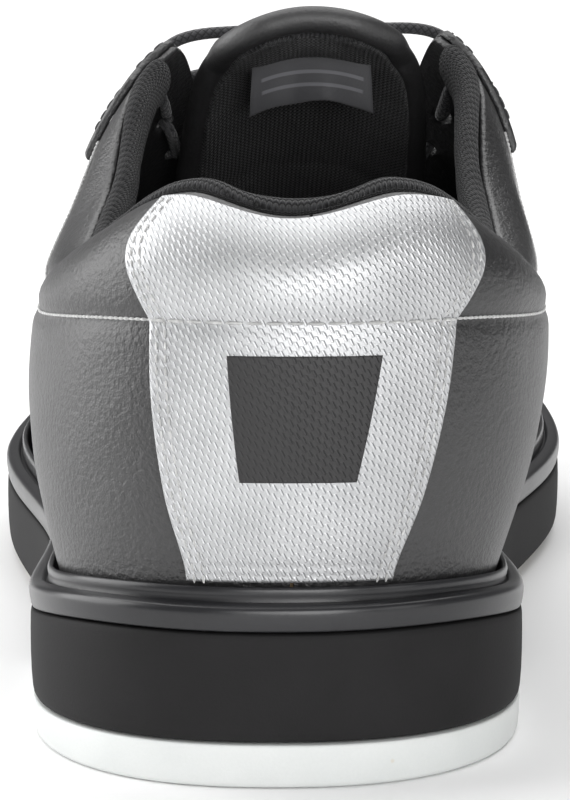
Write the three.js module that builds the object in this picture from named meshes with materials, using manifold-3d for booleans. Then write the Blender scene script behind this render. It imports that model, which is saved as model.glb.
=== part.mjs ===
// Left bowling shoe: a black lace-up upper with a silver heel panel, on a cup sole with a foam wedge,
// a white rubber heel and a microfibre slide pad.
//
// Millimetres, +Z up, toe towards +Y, inner (medial) side of the left foot towards +X.
// The shoe stands on Z = 0, with the origin in the middle of its footprint's box.
//
// The shape comes from two things: the outline of the sole, and a foot form whose ribs rise from that
// outline to a spine. Every panel, lining and pad is a patch of the form, moved in or out along its normal.

import * as THREE from "three";
import { mergeVertices } from "three/addons/utils/BufferGeometryUtils.js";
import Module from "manifold-3d";

const wasm = await Module();
wasm.setup();

// ---------------------------------------------------------------- driving dimensions

// Outline of the cup sole, measured from the back of the heel.
const soleLength = 302;
const heelWidth = 86.4;
const heelDepth = 50; // from the back of the heel to its widest place
const heelSquareness = 2.3; // exponent of the heel's curve: 2 is an ellipse
const waistLateral = 41.6;
const waistMedial = 39.2;
const waistLateralY = 95;
const waistMedialY = 105;
const ballLateral = 54.3;
const ballMedial = 57.2;
const ballLateralY = 196;
const ballMedialY = 210;
const toeTipX = 5;
const toeLateralFullness = 1.85;
const toeMedialFullness = 2.05;
const heelAxisX = 2.5; // the back seam sits a little to the inner side

// Sole unit.
const heelBottomLift = 0; // the heel stands on the floor
const treadThicknessBack = 8.1;
const treadThicknessFront = 6.2;
const heelBreastY = 92; // front of the rubber heel
const breastBow = 7; // how far the heel's front edge curves back in the middle
const padThickness = 2.6;
const padStartY = 128;
const padEndY = 291;
const shankClearance = 4.2; // height of the sole's underside in the waist
const toeSpring = 12;
const toeSpringStartY = 200;
const rimHeight = 4.4; // outer band of the cup sole
const ledgeWidth = 5.6; // from the band's outer edge to the upper
const lipHeight = 3; // inner lip that holds the foot of the upper
const lipThickness = 1.3;
const plateThickness = 2.2; // floor of the cup
const wallTaper = 0.6; // the foam wedge is this much narrower at its foot
const bandSetback = 0.3;

// Upper.
const leather = 1.4;
const overlay = 1.2;
const emblemFilm = 0.5;
const liningThickness = 1.1;
const counterThickness = 1.6;
const counterHeight = 46;
const puffThickness = 1.1;
const puffBackY = 268;
const collarFoamThickness = 4.6;
const collarDepth = 24; // from the top edge down to the foot of the collar pad
const collarRoll = 6; // how far the padded top edge turns in
const collarRollDepth = 12;
const heelDip = 3.4; // the collar's edge dips behind the heel
const heelDipPlace = 0.012;
const heelDipReach = 0.072;
const layerGap = 0.45; // between stacked layers
const padGap = 0.65; // between the leather and what is behind it
const seamGap = 0.6; // between panels that meet edge to edge
const medialFullness = 0.28; // the inner side stands up more squarely beside the throat
const upperLean = 4; // the opening is this far to the inner side of the heel

// Inside the shoe.
const boardThickness = 2;
const footbedThickness = 4;
const coverThickness = 0.9;
const shankLength = 112;
const shankWidth = 14;
const shankThickness = 1.1;
const shankStartY = 44;
const insideSetback = 6.6; // from the foot of the upper to the insole board's edge

// Throat, lace and tongue.
const throatTopY = 128;
const throatEndY = 196;
const throatTopHalf = 24.5;
const throatFootHalf = 9.5;
const eyestayWidth = 17;
const eyeletPairs = 6;
const eyeletFirstY = 135.5;
const eyeletLastY = 187;
const eyeletRadius = 2.4;
const eyeletSetback = 8; // from the throat's edge
const laceDiameter = 2.2;
const laceSag = 2.9; // how far the lace dips between the eyestays
const tongueTopY = 113;
const tongueRootY = 200;
const tongueHalfTop = 18.8;
const tongueHalfMiddle = 25;
const tongueHalfRoot = 14;
const tongueCorner = 9;
const tongueDrop = 5.1; // below the throat's own surface
const tongueLeather = 1;
const tongueFoamThickness = 3.6;
const tongueLiningThickness = 0.9;
const foldY = 131; // where the tongue's free end folds
const foldGap = 3.8;
const foldRelief = 0.8; // the lower foam starts this much further from the fold
const bindingWidth = 2.2;
const labelWidth = 31;
const labelHeight = 9.5;
const labelThickness = 0.5;

// Numbers of facets.
const aroundSteps = 30; // each side of the sole
const nearZero = 1e-6;

// ---------------------------------------------------------------- small helpers

const clamp = (t, low = 0, high = 1) => Math.min(high, Math.max(low, t));
const mix = (a, b, t) => a + (b - a) * t;
const smooth = (t) => clamp(t) ** 2 * (3 - 2 * clamp(t));
const towardsEnds = (t) => 0.5 + (t - 0.5) * (1.2 - 0.8 * (t - 0.5) ** 2); // closer together at both ends
const softRamp = (t, width) => (t + Math.hypot(t, width)) / 2;
const point = (x, y, z) => new THREE.Vector3(x, y, z);

// A smooth curve through rows of [place, value, value, ...], held flat past both ends.
function track(rows) {
  const slope = (i, k) => {
    if (i === 0 || i === rows.length - 1) return 0;
    const before = (rows[i][k] - rows[i - 1][k]) / (rows[i][0] - rows[i - 1][0]);
    const after = (rows[i + 1][k] - rows[i][k]) / (rows[i + 1][0] - rows[i][0]);
    return before * after <= 0 ? 0 : (2 * before * after) / (before + after);
  };
  return (place, k = 1) => {
    if (place <= rows[0][0]) return rows[0][k];
    const last = rows.length - 1;
    if (place >= rows[last][0]) return rows[last][k];
    let i = 0;
    while (rows[i + 1][0] < place) i++;
    const step = rows[i + 1][0] - rows[i][0];
    const t = (place - rows[i][0]) / step;
    const [t2, t3] = [t * t, t * t * t];
    return (
      (2 * t3 - 3 * t2 + 1) * rows[i][k] +
      (t3 - 2 * t2 + t) * step * slope(i, k) +
      (3 * t2 - 2 * t3) * rows[i + 1][k] +
      (t3 - t2) * step * slope(i + 1, k)
    );
  };
}

// ---------------------------------------------------------------- outline of the sole

// One side of the outline as a dense line from the heel's back to the toe's tip. side is -1 or 1.
function sideLine(side) {
  const half = heelWidth / 2;
  const waist = side < 0 ? waistLateral : waistMedial;
  const waistY = side < 0 ? waistLateralY : waistMedialY;
  const ball = side < 0 ? ballLateral : ballMedial;
  const ballY = side < 0 ? ballLateralY : ballMedialY;
  const fullness = side < 0 ? toeLateralFullness : toeMedialFullness;
  const steps = 240;
  const line = [];
  for (let i = 0; i <= steps; i++) {
    const angle = (Math.PI / 2) * (i / steps);
    const x = half * Math.sin(angle) ** (2 / heelSquareness);
    const y = heelDepth * (1 - Math.cos(angle) ** (2 / heelSquareness));
    if (side * x * side >= side * heelAxisX || side < 0) line.push([side * x, y]);
  }
  if (side < 0) {
    for (let i = 1; i <= 10; i++) {
      line.unshift([(heelAxisX * i) / 10, heelBackY((heelAxisX * i) / 10)]);
    }
  }
  for (let i = 1; i <= steps; i++) {
    const y = mix(heelDepth, ballY, i / steps);
    const x =
      y < waistY
        ? mix(half, waist, smooth((y - heelDepth) / (waistY - heelDepth)))
        : mix(waist, ball, smooth((y - waistY) / (ballY - waistY)));
    line.push([side * x, y]);
  }
  for (let i = 1; i <= steps; i++) {
    const angle = (Math.PI / 2) * (i / steps);
    const reach = Math.abs(side * ball - toeTipX);
    const x = toeTipX + side * reach * Math.cos(angle) ** (2 / fullness);
    const y = ballY + (soleLength - ballY) * Math.sin(angle) ** (2 / fullness);
    line.push([x, y]);
  }
  const along = [0];
  for (let i = 1; i < line.length; i++) {
    along.push(along[i - 1] + Math.hypot(line[i][0] - line[i - 1][0], line[i][1] - line[i - 1][1]));
  }
  return { line, along, length: along[along.length - 1] };
}

function heelBackY(x) {
  const share = Math.abs(x / (heelWidth / 2)) ** heelSquareness;
  return heelDepth * (1 - (1 - share) ** (1 / heelSquareness));
}

const lines = { lateral: sideLine(-1), medial: sideLine(1) };

// q runs round the shoe: 0 at the back of the heel, up the lateral side to 1 at the toe's tip, and
// down the medial side to 2, which is the back of the heel again.
const wrap = (q) => ((q % 2) + 2) % 2;
const sideOf = (q) => (wrap(q) <= 1 ? -1 : 1);
const alongOf = (q) => (wrap(q) <= 1 ? wrap(q) : 2 - wrap(q));

function outline(q) {
  const { line, along, length } = sideOf(q) < 0 ? lines.lateral : lines.medial;
  const target = alongOf(q) * length;
  let [low, high] = [0, along.length - 1];
  while (high - low > 1) {
    const middle = (low + high) >> 1;
    if (along[middle] <= target) low = middle;
    else high = middle;
  }
  const t = (target - along[low]) / Math.max(along[high] - along[low], nearZero);
  return [mix(line[low][0], line[high][0], t), mix(line[low][1], line[high][1], t)];
}

// A point inside the outline, that far from it.
function inset(q, distance) {
  const step = 0.006;
  const [ax, ay] = outline(q - step);
  const [bx, by] = outline(q + step);
  const length = Math.hypot(bx - ax, by - ay);
  const [x, y] = outline(q);
  return [x + ((by - ay) / length) * distance, y - ((bx - ax) / length) * distance];
}

// ---------------------------------------------------------------- heights of the sole

const rimTop = track([
  [0, 31.4],
  [heelDepth, 25.6],
  [110, 22.3],
  [toeSpringStartY, 19.6],
  [255, 22.2],
  [soleLength, 29.5],
]);
const footLift = (y) => toeSpring * clamp((y - toeSpringStartY) / (soleLength - toeSpringStartY)) ** 2;
const treadTop = (y) => mix(treadThicknessBack, treadThicknessFront, clamp(y / heelDepth));

// Underside of the foam wedge: on the rubber heel, raised in the waist, and on the slide pad.
function wedgeFoot(y) {
  const front = shankClearance + (padThickness - shankClearance) * smooth((y - 108) / 26);
  const rise = mix(treadTop(y), front, smooth((y - heelBreastY - 5) / 10));
  return rise + footLift(y);
}
const plateTop = (y) => rimTop(y) - rimHeight + plateThickness;
const lipTop = rimHeight - plateThickness + lipHeight - layerGap; // above the foot of the upper
const boardTop = (y) => plateTop(y) + layerGap + boardThickness;
const bedTop = (y) => boardTop(y) + layerGap + footbedThickness;
const coverTop = (y) => bedTop(y) + layerGap + coverThickness;

// ---------------------------------------------------------------- foot form

const spineBackY = 46;
const spineFrontY = 262;
const spineSoftness = 14;

// How each rib leaves the sole and arrives at the spine, by its place along the shoe:
// [y, bulge, rise, crown, height of the spine]
const ribTrack = track([
  [0, 13, 39, 0.94, 140],
  [30, 18, 38, 0.96, 138],
  [62, 26, 38, 1.0, 130],
  [92, 28, 38, 0.99, 124],
  [112, 21, 38, 1.03, 123],
  [128, 17, 37, 1.08, 118.5],
  [150, 14, 32, 0.85, 100],
  [170, 11, 27, 0.59, 85],
  [185, 9, 24, 0.55, 77],
  [200, 8, 22, 0.54, 70.5],
  [220, 6.5, 19.5, 0.53, 64.5],
  [240, 5.5, 17.5, 0.53, 60],
  [262, 4.5, 15.5, 0.53, 56.5],
  [302, 3.5, 14, 0.53, 55],
]);

// Height of the collar's top edge, by its place along the shoe: it dips at the back seam and at the ankle.
const collarTop = track([
  [0, 98.9],
  [11, 98.9],
  [30, 90.5],
  [55, 81.5],
  [76, 79],
  [92, 84],
  [112, 98.5],
  [throatTopY, 112],
  [throatTopY + 3, 400],
]);

// Half the throat's gap, by its place along the shoe.
function throatHalf(y) {
  if (y >= throatEndY) return 0;
  const straight = mix(throatFootHalf, throatTopHalf, (throatEndY - y) / (throatEndY - throatTopY));
  const near = clamp((throatEndY - y) / throatFootHalf);
  const end = Math.sqrt(near * (2 - near));
  return straight * end;
}

const spineX = (y) => mix(0.5, 3, smooth((y - 120) / 80));
const spineY = (y) =>
  spineBackY + softRamp(y - spineBackY, spineSoftness) - softRamp(y - spineFrontY, spineSoftness);

const ribs = new Map();

// The rib at q: a curve in the upright plane from the foot of the upper to the spine.
function rib(q) {
  const key = Math.round(wrap(q) * 1e7);
  if (ribs.has(key)) return ribs.get(key);
  const [x, y] = inset(q, ledgeWidth);
  const other = inset(2 - q, ledgeWidth);
  const middleY = (y + other[1]) / 2;
  const place = middleY;
  const centreY = spineY(middleY);
  const centreX = spineX(centreY) + (toeTipX - 3) * smooth((centreY - 200) / 60);
  const reach = Math.hypot(centreX - x, centreY - y);
  const inward = [(centreX - x) / reach, (centreY - y) / reach];
  const foot = plateTop(y) + layerGap;
  const top = ribTrack(place, 4);
  const standing = smooth((place - 66) / 54) * (1 - smooth((place - 136) / 50));
  const full = x > centreX ? medialFullness * standing : 0;
  const crown = (ribTrack(place, 3) + full) * reach;
  const slope = (ribTrack(centreY + 1, 4) - ribTrack(centreY - 1, 4)) / 2;
  const fall = slope * inward[1] * (1 - smooth((place - 20) / -20)) * smooth((place - 190) / 40);
  const made = {
    x,
    y,
    inward,
    foot,
    r: [0, -0.4, -ribTrack(place, 1), reach - crown, reach],
    z: [foot, foot + 0.34 * ribTrack(place, 2), foot + ribTrack(place, 2), top - crown * fall, top],
    lean: upperLean * (1 - smooth((place - 130) / 80)),
    centreX,
    centreY,
    place,
  };
  ribs.set(key, made);
  return made;
}

function bezier(c, t) {
  const s = 1 - t;
  return (
    s ** 4 * c[0] + 4 * s ** 3 * t * c[1] + 6 * s * s * t * t * c[2] + 4 * s * t ** 3 * c[3] + t ** 4 * c[4]
  );
}

function onRib(made, t) {
  const r = bezier(made.r, t);
  const z = bezier(made.z, t);
  const lean = (made.lean * (z - made.foot)) / 70;
  return point(made.x + made.inward[0] * r + lean, made.y + made.inward[1] * r, z);
}

const tops = new Map();

// How far up the rib the upper goes: to the collar's top edge, to the throat's edge, or to the spine.
function ribEnd(q) {
  const key = Math.round(wrap(q) * 1e7);
  if (tops.has(key)) return tops.get(key);
  const made = rib(q);
  const fromMiddle = wrap(q - heelDipPlace);
  const dip = heelDip * (1 - smooth(Math.min(fromMiddle, 2 - fromMiddle) / heelDipReach));
  const isPast = (t) => {
    const p = onRib(made, t);
    const lean = (made.lean * (p.z - made.foot)) / 70;
    const across = Math.abs(p.x - lean - made.centreX);
    const half = p.y < spineBackY + 40 ? 0 : throatHalf(Math.max(p.y, throatTopY));
    return p.z > collarTop(p.y) - dip || (half > 0 && across < half);
  };
  let end = 1;
  if (isPast(0.999)) {
    let [low, high] = [0.2, 0.999];
    while (!isPast(low + 0.01) && low < 0.98) low += 0.01;
    high = low + 0.01;
    for (let i = 0; i < 24; i++) {
      const middle = (low + high) / 2;
      if (isPast(middle)) high = middle;
      else low = middle;
    }
    end = low;
  }
  tops.set(key, end);
  return end;
}

// A point of the upper's outer face. v is 0 at the sole and 1 at the panel's top edge.
function onForm(q, v) {
  const made = rib(q);
  const end = ribEnd(q);
  const p = onRib(made, v * end);
  if (end < 0.999) {
    const below = clamp((onRib(made, end).z - p.z) / collarRollDepth);
    const amount = collarRoll * (1 - smooth((made.place - 95) / 25)) * (1 - below) ** 2;
    p.x += made.inward[0] * amount;
    p.y += made.inward[1] * amount;
  }
  return p;
}

function normalOn(q, v) {
  const face = (at) => {
    const [dq, dv] = [0.003, 0.01];
    const low = Math.max(v - dv, 0);
    const high = Math.min(v + dv, 1);
    const round = onForm(at + dq, v).sub(onForm(at - dq, v));
    const up = onForm(at, high).sub(onForm(at, low));
    return up.cross(round).normalize();
  };
  const normal = face(q);
  if (v > 0.999 && ribEnd(q) > 0.999) normal.add(face(2 - q)).normalize();
  return normal;
}

function offForm(q, v, distance) {
  return onForm(q, v).addScaledVector(normalOn(q, v), distance);
}

const ladders = new Map();
const ladderSteps = 60;

// Distances along the rib from its top edge, at evenly spaced shares v.
function ladder(q) {
  const key = Math.round(wrap(q) * 1e7);
  if (!ladders.has(key)) {
    const runs = [0];
    for (let i = 1; i <= ladderSteps; i++) {
      const step = onForm(q, 1 - i / ladderSteps).distanceTo(onForm(q, 1 - (i - 1) / ladderSteps));
      runs.push(runs[i - 1] + step);
    }
    ladders.set(key, runs);
  }
  return ladders.get(key);
}

// The share v that is so many millimetres below the rib's top edge, and the other way round.
function belowTop(q, distance) {
  const runs = ladder(q);
  let i = 1;
  while (i < ladderSteps && runs[i] < distance) i++;
  const part = clamp((distance - runs[i - 1]) / Math.max(runs[i] - runs[i - 1], nearZero));
  return 1 - (i - 1 + part) / ladderSteps;
}
function down(q, v) {
  const runs = ladder(q);
  const place = clamp(1 - v) * ladderSteps;
  const i = Math.min(Math.floor(place), ladderSteps - 1);
  return mix(runs[i], runs[i + 1], place - i);
}

// The share v at which a rib is at that height above the foot of the upper.
function atHeight(q, height) {
  let [low, high] = [0, 1];
  const foot = rib(q).foot;
  for (let i = 0; i < 20; i++) {
    const middle = (low + high) / 2;
    if (onForm(q, middle).z - foot < height) low = middle;
    else high = middle;
  }
  return low;
}

// ---------------------------------------------------------------- solids

function geometryOf(positions, triangles) {
  const made = new THREE.BufferGeometry();
  made.setAttribute("position", new THREE.Float32BufferAttribute(positions, 3));
  made.setIndex(triangles);
  return made;
}

// A closed solid between two faces that share a grid. lower and upper give the points of a grid place,
// places that meet at both faces are merged, and the open borders are joined by walls.
function between(places, lower, upper) {
  const index = new Map();
  const low = [];
  const high = [];
  const ids = places.map((row) =>
    row.map((place) => {
      const [a, b] = [lower(...place), upper(...place)];
      const key = [a, b].map((p) => p.toArray().map((n) => Math.round(n * 500)).join()).join();
      if (!index.has(key)) {
        index.set(key, low.length);
        low.push(a);
        high.push(b);
      }
      return index.get(key);
    }),
  );
  const faces = [];
  for (let i = 0; i + 1 < ids.length; i++) {
    for (let j = 0; j + 1 < ids[i].length; j++) {
      const [a, b, c, d] = [ids[i][j], ids[i + 1][j], ids[i + 1][j + 1], ids[i][j + 1]];
      for (const face of [[a, b, c], [a, c, d]]) {
        if (new Set(face).size === 3) faces.push(face);
      }
    }
  }
  const directed = new Set();
  faces.forEach((f) => f.forEach((v, k) => directed.add(v + "_" + f[(k + 1) % 3])));
  const count = low.length;
  const triangles = [];
  for (const [a, b, c] of faces) {
    triangles.push(a + count, b + count, c + count, a, c, b);
    for (const [s, e] of [[a, b], [b, c], [c, a]]) {
      if (directed.has(e + "_" + s)) continue;
      triangles.push(s, e, e + count, s, e + count, s + count);
    }
  }
  const positions = [...low, ...high].flatMap((p) => p.toArray());
  return facingOut(geometryOf(positions, triangles));
}

// A solid whose profile goes round the whole outline. profile(q) is a list of points that starts and
// ends on the spine, the underside first.
function around(profile, steps = aroundSteps) {
  const rows = [];
  const crowd = (t) => t - 0.09 * Math.sin(2 * Math.PI * t); // closer together at the heel and the toe
  for (let i = 0; i <= 2 * steps; i++) rows.push(profile(i === 2 * steps ? 0 : crowd(i / steps)));
  const index = new Map();
  const points = [];
  const ids = rows.map((row) =>
    row.map((p) => {
      const key = p.toArray().map((n) => Math.round(n * 500)).join();
      if (!index.has(key)) {
        index.set(key, points.length);
        points.push(p);
      }
      return index.get(key);
    }),
  );
  const triangles = [];
  for (let i = 0; i + 1 < ids.length; i++) {
    for (let j = 0; j + 1 < ids[i].length; j++) {
      const [a, b, c, d] = [ids[i][j], ids[i + 1][j], ids[i + 1][j + 1], ids[i][j + 1]];
      for (const face of [[a, b, c], [a, c, d]]) {
        if (new Set(face).size === 3) triangles.push(...face);
      }
    }
  }
  return facingOut(geometryOf(points.flatMap((p) => p.toArray()), triangles));
}

function volumeOf(geometry) {
  const p = geometry.getAttribute("position");
  const [a, b, c] = [point(), point(), point()];
  let sum = 0;
  for (let i = 0; i < geometry.index.count; i += 3) {
    [a, b, c].forEach((v, k) => v.fromBufferAttribute(p, geometry.index.getX(i + k)));
    sum += a.dot(b.cross(c)) / 6;
  }
  return sum;
}

function facingOut(geometry) {
  if (volumeOf(geometry) < 0) {
    const list = geometry.index.array;
    for (let i = 0; i < list.length; i += 3) [list[i + 1], list[i + 2]] = [list[i + 2], list[i + 1]];
  }
  return geometry;
}

function solidOf(geometry) {
  const bare = geometry.clone();
  bare.deleteAttribute("normal");
  bare.deleteAttribute("uv");
  const merged = mergeVertices(bare, 1e-3);
  return new wasm.Manifold(
    new wasm.Mesh({
      numProp: 3,
      vertProperties: merged.attributes.position.array,
      triVerts: new Uint32Array(merged.index.array),
    }),
  );
}

function geometryFrom(solid) {
  const mesh = solid.getMesh();
  return geometryOf(Array.from(mesh.vertProperties), Array.from(mesh.triVerts));
}

const cut = (geometry, tools) =>
  geometryFrom(tools.reduce((left, tool) => left.subtract(solidOf(tool)), solidOf(geometry)));
const keep = (geometry, tool) => geometryFrom(solidOf(geometry).intersect(solidOf(tool)));

// A grid of [q, v] places. from and to give the panel's two ends by v, low and high its edges by q.
function patch({ from, to, low, high, columns, rows, spacing = (t) => t }) {
  const value = (edge, at) => (typeof edge === "function" ? edge(at) : edge);
  const places = [];
  for (let i = 0; i <= columns; i++) {
    const row = [];
    for (let j = 0; j <= rows; j++) {
      const t = j / rows;
      const q = mix(value(from, t), value(to, t), spacing(i / columns));
      row.push([q, mix(value(low, q), value(high, q), t)]);
    }
    places.push(row);
  }
  return places;
}

const shell = (places, inner, outer) =>
  between(
    places,
    (q, v) => offForm(q, v, inner),
    (q, v) => offForm(q, v, outer),
  );

// ---------------------------------------------------------------- sole unit

const spinePoint = (q, z) => {
  const [, y] = inset(q, ledgeWidth);
  const [, otherY] = inset(2 - q, ledgeWidth);
  const centre = spineY((y + otherY) / 2);
  return point(spineX(centre), centre, z(centre));
};
const edgePoint = (q, distance, z) => {
  const [x, y] = inset(q, distance);
  return point(x, y, z(y));
};

function slab(distance, bottom, top, steps = aroundSteps) {
  return around(
    (q) => [
      spinePoint(q, bottom),
      edgePoint(q, distance + 14, bottom),
      edgePoint(q, distance, bottom),
      edgePoint(q, distance, top),
      edgePoint(q, distance + 14, top),
      spinePoint(q, top),
    ],
    steps,
  );
}

function soleCup() {
  const bandFoot = (y) => rimTop(y) - rimHeight;
  const ledge = (y) => rimTop(y) + 0.5;
  const hug = (q, height, distance) => offForm(q, atHeight(q, height), distance);
  return around((q) => [
    spinePoint(q, bandFoot),
    edgePoint(q, bandSetback + 14, bandFoot),
    edgePoint(q, bandSetback, bandFoot),
    edgePoint(q, 0, (y) => rimTop(y) - 1.2),
    edgePoint(q, 0.9, rimTop),
    edgePoint(q, ledgeWidth - 2.6, ledge),
    hug(q, lipTop, padGap + lipThickness + 0.2),
    hug(q, lipTop, padGap + 0.2),
    hug(q, 0.6, padGap + 0.2),
    edgePoint(q, ledgeWidth + 0.2, plateTop),
    edgePoint(q, ledgeWidth + 14, plateTop),
    spinePoint(q, plateTop),
  ]);
}

function foamWedge() {
  const head = (y) => rimTop(y) - rimHeight - layerGap;
  return around((q) => [
    spinePoint(q, wedgeFoot),
    edgePoint(q, wallTaper + 14, wedgeFoot),
    edgePoint(q, wallTaper, wedgeFoot),
    edgePoint(q, bandSetback, head),
    edgePoint(q, bandSetback + 14, head),
    spinePoint(q, head),
  ]);
}

// A block in front of the heel's breast, whose back face bows towards the heel.
function breastBlock() {
  const reach = heelWidth;
  const shape = new THREE.Shape();
  shape.moveTo(-reach, heelBreastY);
  shape.quadraticCurveTo(0, heelBreastY - 2 * breastBow, reach, heelBreastY);
  shape.lineTo(reach, soleLength + 10);
  shape.lineTo(-reach, soleLength + 10);
  shape.closePath();
  const block = new THREE.ExtrudeGeometry(shape, { depth: 60, bevelEnabled: false, curveSegments: 10 });
  return block.translate(0, 0, -20);
}

function rubberHeel() {
  const floor = () => heelBottomLift;
  const top = (y) => treadTop(y) - layerGap;
  const whole = around((q) => [
    spinePoint(q, floor),
    edgePoint(q, wallTaper + 1.6, floor),
    edgePoint(q, wallTaper + 0.4, () => heelBottomLift + 1.2),
    edgePoint(q, wallTaper, top),
    spinePoint(q, top),
  ]);
  return cut(whole, [breastBlock()]);
}

function slidePad() {
  const whole = slab(wallTaper + 2, (y) => footLift(y), (y) => footLift(y) + padThickness - layerGap);
  const span = padEndY - padStartY;
  const limits = new THREE.BoxGeometry(2 * heelWidth, span, 120).translate(0, padStartY + span / 2, 0);
  return keep(whole, limits);
}

function shank() {
  const shape = new THREE.Shape();
  const rows = 10;
  for (let i = 0; i <= rows; i++) {
    const y = shankStartY + (shankLength * i) / rows;
    const z = plateTop(y) + layerGap;
    if (i === 0) shape.moveTo(y, z);
    else shape.lineTo(y, z);
  }
  for (let i = rows; i >= 0; i--) {
    const y = shankStartY + (shankLength * i) / rows;
    shape.lineTo(y, plateTop(y) + layerGap + shankThickness);
  }
  shape.closePath();
  const bar = new THREE.ExtrudeGeometry(shape, { depth: shankWidth, bevelEnabled: false });
  const turn = new THREE.Matrix4().makeBasis(point(0, 1, 0), point(0, 0, 1), point(1, 0, 0));
  return bar.applyMatrix4(turn).translate(-shankWidth / 2, 0, 0);
}

function insoleBoard() {
  const lower = (y) => plateTop(y) + layerGap;
  const whole = slab(ledgeWidth + insideSetback, lower, boardTop, 20);
  const parts = 5;
  const step = (shankLength + 2 * seamGap) / parts;
  const grooves = [];
  for (let i = 0; i < parts; i++) {
    const y = shankStartY - seamGap + step * (i + 0.5);
    const depth = 2 * (shankThickness + 2 * layerGap + 0.3);
    const slot = new THREE.BoxGeometry(shankWidth + 2 * seamGap, step + 0.2, depth);
    grooves.push(slot.translate(0, y, lower(y)));
  }
  return cut(whole, grooves);
}

// A sheet inside the shoe: the insole board, the footbed and its cover are cut to the same outline.
const sheetInside = (bottom, top) => slab(ledgeWidth + insideSetback, bottom, top, 20);

// ---------------------------------------------------------------- upper

const perMm = 1 / lines.lateral.length;
const quarterFront = (t) => mix(0.47, 0.628, t);
const vampStart = (t) => quarterFront(t) + 1.9 * seamGap * perMm;
const toeCapStart = (t) => mix(0.79, 0.86, smooth(t));
const collarEnd = 0.42; // the collar's pad and lining reach from here to the same place on the other side
const counterEnd = 0.2;

// The heel panel is widest at the collar and has a waist just under it.
const panelHalf = track([
  [0, 19.5 * perMm],
  [0.35, 24 * perMm],
  [0.62, 27.5 * perMm],
  [0.74, 28.8 * perMm],
  [0.92, 36 * perMm],
  [1, 34.5 * perMm],
]);

const quarter = (side) => {
  const front = (t) => (side < 0 ? quarterFront(t) : 2 - quarterFront(t));
  const back = side < 0 ? (seamGap / 2) * perMm : 2 - (seamGap / 2) * perMm;
  const places = [];
  const [columns, rows] = [30, 11];
  for (let i = 0; i <= columns; i++) {
    const row = [];
    for (let j = 0; j <= rows; j++) {
      const t = 1 - (1 - j / rows) ** 1.3;
      row.push([mix(back, front(t), (i / columns) ** 1.12), t]);
    }
    places.push(row);
  }
  return shell(places, -leather, 0);
};

// A grid over the front of the shoe, from one side over the spine to the other.
const forepart = (start, columns, rows, foot = 0) => {
  const places = [];
  for (let i = 0; i <= columns; i++) {
    const row = [];
    for (let j = -rows; j <= rows; j++) {
      const t = 1 - Math.abs(j) / rows;
      const along = mix(start(t), 1, i / columns);
      const q = j <= 0 ? along : 2 - along;
      row.push([q, foot > 0 ? mix(atHeight(q, foot), 1, t) : t]);
    }
    places.push(row);
  }
  return places;
};

const puffDepth = leather + padGap;
const vampLiningDepth = puffDepth + puffThickness + 2.4 * padGap;

// The toe's stiffener has a straight back edge.
const toePuff = () => {
  const grid = forepart(() => 0.83, 11, 9);
  const limits = new THREE.BoxGeometry(2 * heelWidth, 100, 200).translate(0, puffBackY + 50, 0);
  return keep(shell(grid, -puffDepth - puffThickness, -puffDepth), limits);
};

const heelPanel = () => {
  const places = patch({
    from: (t) => -panelHalf(t),
    to: panelHalf,
    low: (q) => atHeight(q, lipTop + seamGap),
    high: 0.985,
    columns: 14,
    rows: 14,
  });
  return shell(places, layerGap, layerGap + overlay);
};

const heelMark = () => {
  const half = (t) => mix(9.8, 13.2, t) * perMm;
  const places = patch({
    from: (t) => -half(t),
    to: half,
    low: (q) => atHeight(q, 23),
    high: (q) => atHeight(q, 44),
    columns: 7,
    rows: 5,
  });
  return shell(places, 2 * layerGap + overlay, 2 * layerGap + overlay + emblemFilm);
};

const padProfile = track([
  [0, 3.2],
  [9, collarFoamThickness],
  [collarDepth, counterThickness],
]);

// The pad's thickness; it thins out where the collar meets the throat.
const collarPad = (q, v) => {
  const end = smooth((Math.min(wrap(q), wrap(-q)) - 0.33) / 0.08);
  return mix(padProfile(down(q, v)), counterThickness, end);
};

// The pad keeps further off the leather towards its two ends, where the upper turns sharply.
const endClearance = (q) => {
  const along = Math.min(wrap(q), 2 - wrap(q));
  return 0.7 * smooth((along - 0.28) / 0.08);
};

const collarFoam = () => {
  const places = patch({
    from: -collarEnd,
    to: collarEnd,
    low: (q) => belowTop(q, collarDepth),
    high: 1,
    columns: 44,
    rows: 5,
    spacing: towardsEnds,
  });
  const outer = (q) => -leather - padGap - endClearance(q);
  return between(
    places,
    (q, v) => offForm(q, v, outer(q) - collarPad(q, v)),
    (q, v) => offForm(q, v, outer(q)),
  );
};

// The collar's lining climbs the inside of the pad and rolls over its top to the leather's edge.
function collarLining() {
  const [wallRows, rollRows, columns] = [10, 5, 44];
  const rollHeight = 3.6;
  const places = [];
  for (let i = 0; i <= columns; i++) {
    const row = [];
    const q = mix(-collarEnd, collarEnd, towardsEnds(i / columns));
    for (let j = 0; j <= wallRows + rollRows; j++) row.push([q, j]);
    places.push(row);
  }
  const face = (outside) => (q, j) => {
    const v = mix(0.05, 1, Math.min(j / wallRows, 1));
    const base = leather + 2 * padGap + collarPad(q, v) + endClearance(q);
    if (j <= wallRows) return offForm(q, v, -base - (outside ? liningThickness : 0));
    const across = (j - wallRows) / rollRows;
    const angle = across * 2.75;
    const half = (base + liningThickness) / 2;
    const height = outside ? rollHeight * Math.sin(angle) : padGap * Math.min(across * 4, 1);
    const depth = outside ? -half * (1 + Math.cos(angle)) : -base * (1 - across) - 0.3 * across;
    const up = onForm(q, 1).sub(onForm(q, 0.985)).normalize();
    up.add(new THREE.Vector3(0, 0, 1)).normalize();
    const lift = endClearance(q) * Math.min(across * 4, 1);
    return offForm(q, 1, depth).addScaledVector(up, height + lift);
  };
  return between(places, face(true), face(false));
}

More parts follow.
